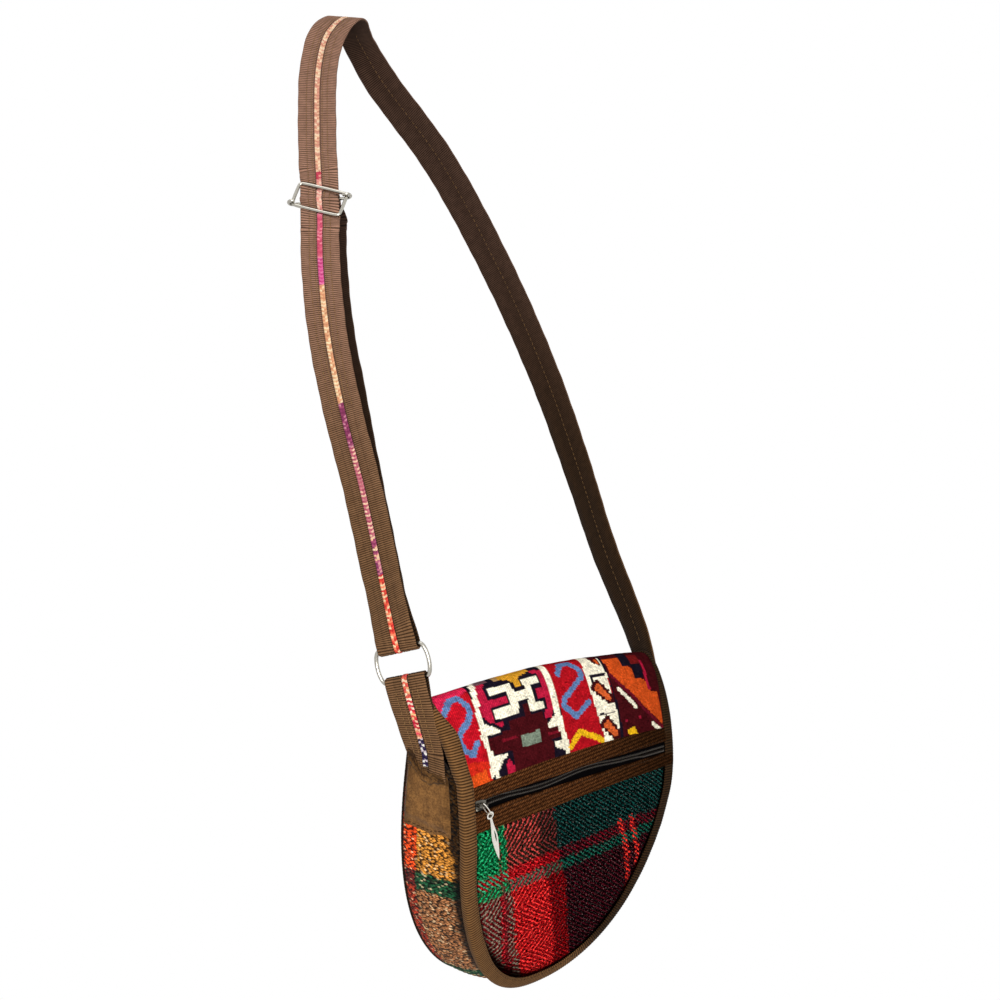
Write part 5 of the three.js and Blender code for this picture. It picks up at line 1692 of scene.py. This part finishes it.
class Route:
    """Where the webbing runs: the ring's and the slide's frames, the tab's and the strap's stations."""

    def __init__(self) -> None:
        """Works out the frames of the ring and the slide."""
        self.ring_up = unit((-0.1, 0.42, 0.9))
        face = facing(RING_AZ)
        self.ring_side = unit(face - self.ring_up * (face @ self.ring_up))
        self.ring_across = unit(np.cross(self.ring_up, self.ring_side))
        self.upper_bar = RING + self.ring_up * RING_RISE / 2
        self.lower_bar = RING - self.ring_up * RING_RISE / 2
        self.at = np.array(ROUTE_SLIDE[:3], float)
        self.up = unit(np.array(ROUTE_CHEST[-1][:3], float) - ROUTE_FRONT[0][:3])
        face = facing(ROUTE_SLIDE[3])
        self.out = unit(face - self.up * (face @ self.up))
        self.across = np.cross(self.up, self.out)

    def on_slide(self, across: Array, up: Array, out: Array) -> Array:
        """Places in the slide's frame."""
        across, up, out = (np.asarray(v, float)[..., None] for v in np.broadcast_arrays(across, up, out))
        return self.at + self.across * across + self.up * up + self.out * out

    @staticmethod
    def sewn(side: int) -> Pair:
        """Webbing on the gusset under a patch.

        Args:
            side: -1 on the left, 1 on the right.

        Returns:
            Centres and outward sides, sewn end first.
        """
        z = np.linspace(TAB_END_Z, GUSSET_TOP + 6, 6)
        q, s = gusset_q(z, side), np.full(6, SEWN_AT[side])
        p = gusset_point(q, s, WEB_ON)
        return p, unit(p - gusset_point(q, s, WEB_ON - 1))

    @staticmethod
    def smooth(p: Array, side: Array, count: int) -> Pair:
        """Even stations through control stations.

        Args:
            p: their centres.
            side: their outward sides.
            count: how many are wanted.

        Returns:
            Centres and outward sides.
        """
        t = np.linspace(0, 1, 4000)
        far = distance_along(spline(p, t))
        at = np.interp(np.linspace(0, far[-1], count), far, t)
        return spline(p, at), unit(spline(side, at))

    @staticmethod
    def turn(axis: Array, side: Array, along: Array) -> Pair:
        """Half turn of webbing round a ring bar.

        Args:
            axis: the bar's middle.
            side: outward side at its start.
            along: which way it turns.

        Returns:
            Centres and outward sides.
        """
        a = np.linspace(0, math.pi, 25)[1:, None]
        out = side * np.cos(a) + along * np.sin(a)
        return axis + out * FOLD_WEB, out

    def tab(self) -> Stations:
        """Up from under the left patch, through the ring, and folded back behind itself.

        Returns:
            The tab's stations.
        """
        p, side = self.sewn(-1)
        end = self.lower_bar + self.ring_side * FOLD_WEB
        fp, fs = self.smooth(np.vstack((p[5], end - self.ring_up * 9, end)),
                             np.vstack((side[5], self.ring_side, self.ring_side)), 80)
        front_p, front_s = np.vstack((p[:5], fp)), np.vstack((side[:5], fs))
        down = np.linalg.norm(front_p - end, axis=1)
        gap = 2 * FOLD_WEB + (LAYER - 2 * FOLD_WEB) * np.minimum(1, down / 14)
        back_p, back_s = (front_p - front_s * gap[:, None])[::-1][1:], -front_s[::-1][1:]
        keep = down[::-1][1:] < TAIL
        tp, ts = self.turn(self.lower_bar, self.ring_side, self.ring_up)
        return Stations.of(front_p, front_s) + Stations.of(tp, ts) + Stations.of(back_p[keep], back_s[keep])

    def strap(self) -> tuple[Stations, Stations]:
        """Over the shoulder, through the slide, round the ring and up to the slide's bar.

        Returns:
            The long run with its fold at the ring, and the end on the bar.
        """
        place = [*ROUTE_BACK, None, *ROUTE_CHEST, ROUTE_SLIDE, *ROUTE_FRONT]
        end = self.upper_bar + self.ring_side * FOLD_WEB
        p, side = self.sewn(1)
        top = SHOULDER + (0, 0, WEB_T / 2)
        ctrl_p = [p[5], *(top if r is None else np.array(r[:3], float) for r in place),
                  end + self.ring_up * 10, end]
        ctrl_s = [side[5], *(np.array((0, 0, 1.0)) if r is None else facing(*r[3:]) for r in place),
                  self.ring_side, self.ring_side]
        fp, fs = self.smooth(np.array(ctrl_p), np.array(ctrl_s), 1500)
        rp, rs = np.vstack((p[:5], fp)), np.vstack((side[:5], fs))
        near = np.linalg.norm(rp - self.at, axis=1) < SLIDE_REACH + 2
        above = np.arange(len(rp)) < int(np.argmax(near))
        first, below = ~near & above, ~near & ~above
        up = np.linspace(SLIDE_REACH, -SLIDE_REACH, 73)
        over = Stations.of(self.on_slide(0, up, 0), np.tile(self.out, (len(up), 1)), slide_slant(up), up, 1)
        below_p, below_s = rp[below], rs[below]
        down = np.linalg.norm(below_p - end, axis=1)
        gap = 2 * FOLD_WEB + (LAYER - 2 * FOLD_WEB) * np.minimum(1, down / 30)
        aside = INNER_OUT * ease(below_p[:, 2], 325, 415)
        below_in = below_p - below_s * gap[:, None] + self.across * aside[:, None]
        tp, ts = self.turn(self.upper_bar, self.ring_side, -self.ring_up)
        main = (Stations.of(rp[first], rs[first]) + over + Stations.of(below_p, below_s) + Stations.of(tp, ts)
                + Stations.of(below_in[::-1][1:], -below_s[::-1][1:]))
        up = np.linspace(-SLIDE_REACH, 0, 37)
        rise = Stations.of(self.on_slide(INNER_OUT * ease(up, -3, -20), up, -LAYER),
                           np.tile(-self.out, (len(up), 1)), -slide_slant(up), up, -1)
        a = np.linspace(0, math.pi, 25)[1:]
        wrap = Stations.of(self.on_slide(0, WRAP_R * np.sin(a), -BAR_IN + WRAP_R * np.cos(a)),
                           -self.out * np.cos(a)[:, None] - self.up * np.sin(a)[:, None])
        tail = spline(np.array(STRAP_TAIL), np.linspace(0.1, 1, 40))
        tail_at = Stations.of(self.on_slide(0, tail[:, 0], tail[:, 1]), np.tile(self.out, (len(tail), 1)))
        return main, rise + wrap + tail_at


# Strand colours of the braids: lowest height of each run, then four colours.
STRAP_BRAID = (
    (557, "#e8bd98", "#dca088", "#f0d4b4", "#d08a74"), (551, "#c84a5a", "#d8707a", "#b83a50", "#e0a090"),
    (528, "#ecac98", "#e2988c", "#f2ccb4", "#d88880"), (494, "#d8647c", "#c84a66", "#e88a98", "#d05a74"),
    (475, "#d04a88", "#c23a78", "#e07aa4", "#d86a98"), (396, "#e6b68a", "#dca076", "#f2d8b0", "#d08c68"),
    (369, "#a04c6c", "#8a3c60", "#c88094", "#7a3454"), (316, "#b8606e", "#a84a60", "#eac0a4", "#c87a80"),
    (303, "#eac8a4", "#a85070", "#e8b090", "#8a3a5c"), (295, "#8f4468", "#c06a80", "#7a3258", "#d89a98"),
    (0, "#e0503e", "#f2cda2", "#c83430", "#ee8a66"),
)
TAB_BRAID = (
    (228, "#e8a878", "#d2604a", "#f0d0b0", "#c84a48"), (214, "#c8283a", "#efc08a", "#e05a50", "#f0d8c0"),
    (202, "#b81f34", "#e08a6a", "#d8485a", "#eab89a"), (0, "#221c3a", "#e8e2da", "#3a2c50", "#c8b8c0"),
)


@dataclass
class Strap:
    """Webbing strap and tab with their braids, stitch lines and wire hardware.

    Rib is the spacing of the webbing's ribs, and shade its colours low and high on the strap. Strand and
    braid_half are the length of a braid's strand and half of its width.
    """

    rib: float = 1.6
    shade: tuple[str, str] = ("#664a32", "#8a6856")
    strand: float = 1.5
    braid_half: float = 2.1

    def __post_init__(self) -> None:
        """Works out the route."""
        self.route = Route()

    def build(self) -> None:
        """Builds and dresses every piece of the strap."""
        main, end = self.route.strap()
        tab = self.route.tab()
        strap = self.webbing("strap_webbing", main + end, "strap")
        cover = self.webbing("tab_webbing", tab, "strap_tab")
        braid = self.braid("strap_braid_cord", main.above(GUSSET_TOP + 3, -12), "strap_braid", STRAP_BRAID)
        tab_braid = self.braid("tab_braid_cord", tab.above(GUSSET_TOP - 6, -6), "tab_braid", TAB_BRAID)
        # The stitches end where the webbing turns back inside itself.
        rows = self.stitch_rows("strap_stitching", main.above(GUSSET_TOP + 3, 1290))
        tab_rows = self.stitch_rows("tab_stitching", tab.above(GUSSET_TOP + 3, 78))
        self.wires()

    def webbing(self, name: str, way: Stations, node: str) -> Piece:
        """Ribbed webbing along its stations, with a channel for the braid.

        Args:
            name: the piece's name.
            way: its stations.
            node: the solid that it replaces.

        Returns:
            The piece.
        """
        way = way.even(self.rib / 2)
        half = WEB_W / 2
        edge = [(half, 0.0), (half - 0.15, 0.55), (half - 0.7, 0.86), (11.5, 0.9), (8.8, 0.92), (8.1, 0.74),
                (7.4, 0.92), (4.9, 0.95), (4.2, 0.76), (3.5, 0.95), (2.75, 0.8), (2.55, 0.0)]
        inside = [(-half + 0.7, -0.86), (-7.5, -0.9), (0, -0.9), (7.5, -0.9), (half - 0.7, -0.86)]
        section = np.array(edge + [(-w, n) for w, n in edge[::-1]] + inside)
        w, n = section.T
        far = way.far()
        ribs = in_turn(len(far), 0.13, -0.13)[:, None]
        bend = np.linalg.norm(np.gradient(way.side, axis=0), axis=1)
        straight = np.pad((bend < 0.03).astype(float), 20, mode="edge")
        straight = np.convolve(straight, np.ones(41) / 41, "valid")
        wave = 0.12 * np.sin(far / 6.3) + 0.1 * np.sin(far / 2.9 + 1)
        loops = way.loops(w + wave[:, None] * np.sign(w) * (np.abs(w) > half - 1),
                          n + ribs * np.sign(n) * (np.abs(n) > 0.5), 0.1 * straight**4)
        low, high = (rgb(c) for c in self.shade)
        tint = low + (high - low) * ease(loops[..., 2], 300, 560)[..., None]
        # Painted light on the ribs and painted shade between them, along the sewn lines, on the inside and on
        # the layer behind the strap.
        sewn = np.interp(np.abs(w), *SEWN_SHADE) * np.where(n < -0.5, 0.22, 1.0)
        painted_shade_layer = (way.side @ facing(-50) < 0) & (way.p[:, 0] < -60) & (way.p[:, 2] > GUSSET_TOP + 20)
        painted_light_and_shade = in_turn(len(far), 1.95, 0.1) * np.where(painted_shade_layer, 0.45, 1.0)
        tint = tint * (painted_light_and_shade[:, None] * sewn)[..., None]
        return make_piece(name, bar(loops), WEBBING, node, tint=tint.reshape(-1, 3),
                          cloth=spread(distance_along(section), far[:, None]))

    @staticmethod
    def dyes(runs: Sequence[tuple[float, ...]], z: Array) -> Array:
        """Four strand colours at each height, from the lowest height of each run.

        Args:
            runs: lowest height, then the colours.
            z: heights.

        Returns:
            Linear colours, places by strands.
        """
        return np.array([next([rgb(c) for c in run[1:]] for run in runs if value >= run[0]) for value in z])

    def braid(self, name: str, way: Stations, node: str, runs: Sequence[tuple[float, ...]]) -> Piece:
        """Chain-stitched braid: two rows of slanted strands that meet in the middle.

        Args:
            name: the piece's name.
            way: the webbing's stations.
            node: the solid that it replaces.
            runs: strand colours by height.

        Returns:
            The piece.
        """
        way = way.even(0.5)
        half = self.braid_half
        w = np.array((half, 1.8, 1.2, 0.6, 0.12, -0.12, -0.6, -1.2, -1.8, -half, 0.0))
        far = way.far()
        phase = far[:, None] / self.strand + 0.5 * np.abs(w) / half + np.where(w > 0, 0.0, 0.5)
        strand = np.floor(phase).astype(int)
        dome = 0.45 + 0.85 * np.sqrt(np.clip(1 - (w / (half + 0.15)) ** 2, 0, 1))
        n = dome - 0.35 * (np.abs((phase % 1) - 0.5) * 2) ** 3 - 0.35 * (np.abs(w) < 0.2)
        n[:, -1] = 0.35
        lot = np.random.default_rng(17).integers(0, 2, 6000)
        which = 2 * (strand % 2) + lot[(strand * 2 + (w > 0)) % len(lot)]
        tint = self.dyes(runs, way.p[:, 2])[np.arange(len(far))[:, None], which]
        return make_piece(name, bar(way.loops(w, n)), BRAID, node, cloth=spread(w, far[:, None]),
                          tint=tint.reshape(-1, 3))

    def stitch_rows(self, name: str, way: Stations) -> Piece:
        """Sewn lines beside the braid on the webbing's outer face.

        Args:
            name: the piece's name.
            way: the webbing's stations.

        Returns:
            The piece.
        """
        way = way.even(1.2)
        inside = way.pick((way.p[:, 1] > 60) & (way.p[:, 0] > 0))
        rows = [(way, w, (0.78, 1.78), STRAP_STITCH) for w in (-8.1, -4.2, 4.2, 8.1)]
        rows += [(inside, 1.5, (-0.9, -1.9), INNER_STITCH)] if len(inside.p) else []
        parts = []
        for part, w, rise, stitch in rows:
            loops = part.loops(np.array((w, w)), np.array(rise))
            parts.append(stitch.row(loops[:, 0], loops[:, 1]))
        return make_piece(name, joined(parts), THREAD)

    def wires(self) -> None:
        """Oval ring, slide frame and slide bar of bent wire."""
        r = self.route
        a = np.radians(np.linspace(-90, 90, 13))
        ends = places(RING_BAR / 2 + RING_END * np.cos(a), np.sin(a) * RING_RISE / 2)
        loop = np.vstack((ends, -ends))
        ring = RING + loop[:, :1] * r.ring_across + loop[:, 1:] * r.ring_up
        settle(bent_wire("tab_ring_wire", ring, RING_R, True), NICKEL, "tab_ring")
        turn = math.radians(-SLIDE_TURN)
        corner = 2.4
        points = []
        for sx, sy, start in ((1, 1, 0), (-1, 1, 90), (-1, -1, 180), (1, -1, 270)):
            a = np.radians(start + np.array((0, 30, 60, 90)))
            w = sx * (SLIDE_W / 2 - corner) + corner * np.cos(a)
            v = sy * (SLIDE_H / 2 - corner) + corner * np.sin(a)
            points.append(r.on_slide(w * math.cos(turn) - v * math.sin(turn),
                                     w * math.sin(turn) + v * math.cos(turn), 0))
        settle(bent_wire("slide_frame_wire", np.vstack(points), SLIDE_R, True), NICKEL, "slide_frame")
        reach = SLIDE_W / 2 / math.cos(math.radians(SLIDE_TURN))
        a = np.radians(np.linspace(-90, 140, 12))
        curl = places(reach + BAR_IN * np.cos(a), BAR_IN * np.sin(a))
        way = np.vstack(((curl * (-1, 1))[::-1], [[-reach / 2, -BAR_IN], [reach / 2, -BAR_IN]], curl))
        bent = r.on_slide(way[:, 0], 0, way[:, 1])
        settle(bent_wire("slide_bar_wire", bent, BAR_R, False), NICKEL, "slide_bar")


def bent_wire(name: str, points: Array, radius: float, closed: bool) -> Piece:
    """Round wire bent along points, as a curve with a round bevel made into a mesh.

    Args:
        name: the piece's name.
        points: the wire's centre line in the bag's frame.
        radius: the wire's radius.
        closed: whether the wire closes on itself.

    Returns:
        The piece.
    """
    bpy.ops.object.select_all(action="DESELECT")
    bpy.ops.curve.primitive_bezier_curve_add(location=(0, 0, 0))
    piece = bpy.context.object
    piece.name = piece.data.name = name
    curve = piece.data
    curve.splines.clear()
    line = curve.splines.new("POLY")
    apart = np.linalg.norm(np.diff(np.vstack((points, points[:1])), axis=0), axis=1) > 0.05
    apart[-1] = True
    points = points[apart]
    if closed:
        fine = 18
        points = np.vstack((points[-1:], points, points[:2]))
        dense = spline(points, np.linspace(0, 1, fine * (len(points) - 1)))[fine:-fine]
    else:
        dense = spline(points, np.linspace(0, 1, 10 * len(points)))
    line.points.add(len(dense) - 1)
    line.points.foreach_set("co", np.hstack((packed(dense), np.ones((len(dense), 1)))).ravel())
    line.use_cyclic_u = closed
    curve.dimensions = "3D"
    curve.bevel_depth = radius / 1000
    curve.bevel_resolution = 4
    curve.use_fill_caps = True
    bpy.ops.object.convert(target="MESH")
    bpy.ops.object.shade_smooth_by_angle(angle=math.radians(50))
    return bpy.context.object


@dataclass
class Zip:
    """The flap pocket's zip: tapes, wavy coils, slider, link and drop."""

    tooth: float = 1.5
    wire: float = 0.34
    sides: int = 6
    black: str = "#050405"
    # Colour of the painted highlight on the coil.
    wear_and_painted_light: str = "#5c554d"

    def build(self) -> None:
        """Builds and dresses every piece of the zip."""
        for side, name in ((1, "upper"), (-1, "lower")):
            self.tape(side, name)
            self.coil(side, name)
        # The slider takes a darker nickel, the link and drop a nickel painted light.
        for node, finish in (("zip_slider", DARK_NICKEL), ("pull_link", LIT_NICKEL),
                             ("pull_drop", LIT_NICKEL)):
            dress(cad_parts[node], finish)
            log.info("%s: %s", node, finish.name)

    @staticmethod
    def sway(x: Array) -> Array:
        """How the coils wave along the window."""
        free = Flap.zip_rise(x) + 1.1 * np.sin(x / 14.0 + 1.1) * np.clip((ZIP_HALF - np.abs(x)) / 25, 0, 1)
        return free + (-1.25 - free) * ease(x, 48, 72)

    def tape(self, side: int, name: str) -> None:
        """Woven tape behind one side of the window.

        Args:
            side: 1 above the coils, -1 below.
            name: the same in a word.
        """
        xs, vs = np.meshgrid(np.linspace(-ZIP_HALF - 3, ZIP_HALF + 3, 200), np.linspace(0.9, 12.2, 14))
        run = ZIP_RUN + side * vs + self.sway(xs) * (1 - ease(vs, 4, 9))
        place = places(xs, run)
        ripple = 0.25 * wobble(place, 18, 71 + side) * (1 - ease(vs, 3, 5))
        outer, inner = (flap_point(xs, run, out + ripple) for out in (-1.95, -2.5))
        piece = cloth_sheet(f"zip_tape_{name}_cloth", outer, inner, 2, ZIP_TAPE, f"zip_tape_{name}",
                            cloth=place)

    def coil(self, side: int, name: str) -> None:
        """One row of the nylon coil: a flattened spiral along the tape's edge.

        Args:
            side: 1 above the middle, -1 below.
            name: the same in a word.
        """
        half = ZIP_HALF - 2
        turns = int(2 * half / self.tooth)
        a = np.linspace(0, 2 * math.pi * turns, turns * 10)
        x = np.linspace(-half, half, len(a))
        parted = 0.45 * ease(np.abs(x), 62, 70)  # round the slider's wedge at either end
        run = ZIP_RUN + 1.2 + self.sway(x) + side * (1.15 + parted + 0.75 * np.cos(a))
        path = flap_point(x, run, -0.9 + 0.55 * np.sin(a))
        loops = wire_loops(path, self.wire, self.sides, np.array((0.31, -0.52, 0.8)))
        # Painted highlight along the front of each turn.
        wear_and_painted_light = ease(np.sin(a), 0.86, 1.0)[:, None, None]
        tint = np.broadcast_to(rgb(self.black) * (1 - wear_and_painted_light) + rgb(self.wear_and_painted_light) * wear_and_painted_light, loops.shape)
        make_piece(f"zip_coil_{name}_nylon", bar(loops), COIL, f"zip_coil_{name}", tint=tint.reshape(-1, 3))


@dataclass
class Studio:
    """Pale floor, soft lamps and the camera."""

    lens: float = 39.631
    eye: Triple = (-529.2035954, -476.0857805, 515.9241256)
    right: Triple = (0.7600867379, -0.6394781573, 0.1154808957)
    down: Triple = (-0.0566611447, -0.2422555923, -0.9685565253)
    floor_z: float = -1.35

    def build(self) -> None:
        """Sets the whole scene."""
        self.floor()
        self.world()
        self.camera()
        self.lamp("key", (-0.85, -1.25, 0.0), (-0.03, -0.33, -0.5), 0.6, 20.0)
        self.lamp("fill", (1.3, -1.2, 0.1), (0.0, -0.3, -0.45), 1.4, 2.0)
        self.lamp("top", (-0.3, 0.1, 1.2), (0.0, -0.1, -0.3), 1.2, 9.0)

    def floor(self) -> None:
        """A wide pale floor below the hanging bag."""
        bpy.ops.object.select_all(action="DESELECT")
        bpy.ops.mesh.primitive_plane_add(size=60, location=(0, 0, self.floor_z))
        floor = bpy.context.object
        floor.name = "floor"
        material, add, shader = blank("pale matt floor")
        feed(shader, {"Base Color": linear("#f2f2f0"), "Roughness": 0.9})
        white = add("Emission", {"Color": (1, 1, 1, 1)})
        mixed = add("MixShader", (self.seen(add), shader.outputs[0], white))
        output = next(n for n in material.node_tree.nodes if n.type == "OUTPUT_MATERIAL")
        feed(output, {"Surface": mixed})
        floor.data.materials.append(material)

    @staticmethod
    def seen(add: Adder) -> Socket:
        """Picks out the rays that see the surroundings.

        Args:
            add: what adds the nodes.

        Returns:
            1 for rays of the camera, of gloss and of clear pieces.
        """
        found = add("LightPath", out="Is Camera Ray")
        rays = found.node.outputs
        for ray in ("Is Glossy Ray", "Is Transmission Ray"):
            found = add("Math", (found, rays[ray]), operation="MAXIMUM")
        return found

    def world(self) -> None:
        """White to the eye, a soft grey light on the bag."""
        world = bpy.data.worlds.new("studio")
        bpy.context.scene.world = world
        world.use_nodes = True
        add = partial(add_node, world.node_tree)
        level = add("MapRange", {"Value": self.seen(add), "To Min": 0.28})
        back = next(n for n in world.node_tree.nodes if n.type == "BACKGROUND")
        feed(back, {"Color": (1, 1, 1, 1), "Strength": level})

    @staticmethod
    def lamp(name: str, place: Triple, target: Triple, size: float, power: float) -> None:
        """A square soft lamp.

        Args:
            name: the lamp's name.
            place: where it hangs, in metres.
            target: what it looks at.
            size: its side.
            power: its power in watts.
        """
        light = bpy.data.lights.new(name, "AREA")
        light.shape, light.size, light.energy = "SQUARE", size, power
        lamp = bpy.data.objects.new(name, light)
        lamp.location = place
        lamp.rotation_euler = (Vector(target) - Vector(place)).to_track_quat("-Z", "Y").to_euler()
        bpy.context.scene.collection.objects.link(lamp)

    def camera(self) -> None:
        """The camera at the photograph's place."""
        data = bpy.data.cameras.new("camera")
        data.lens, data.sensor_width, data.sensor_fit = self.lens, 36.0, "AUTO"
        data.clip_end = 100
        camera = bpy.data.objects.new("camera", data)
        right, down = Vector(self.right), Vector(self.down)
        turn = Matrix((right, -down, -right.cross(down))).transposed().to_4x4()
        camera.matrix_world = Matrix.Translation(Vector(packed(self.eye))) @ turn
        bpy.context.scene.collection.objects.link(camera)
        bpy.context.scene.camera = camera


def main() -> None:
    """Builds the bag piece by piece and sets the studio."""
    logging.basicConfig(level=logging.INFO, format="%(name)s %(message)s")
    bpy.context.scene.view_settings.view_transform = "Standard"
    for part in (Studio(), Strap(), Body(), Flap(), Zip()):
        part.build()
    bpy.context.view_layer.update()


if __name__ == "__main__":
    main()
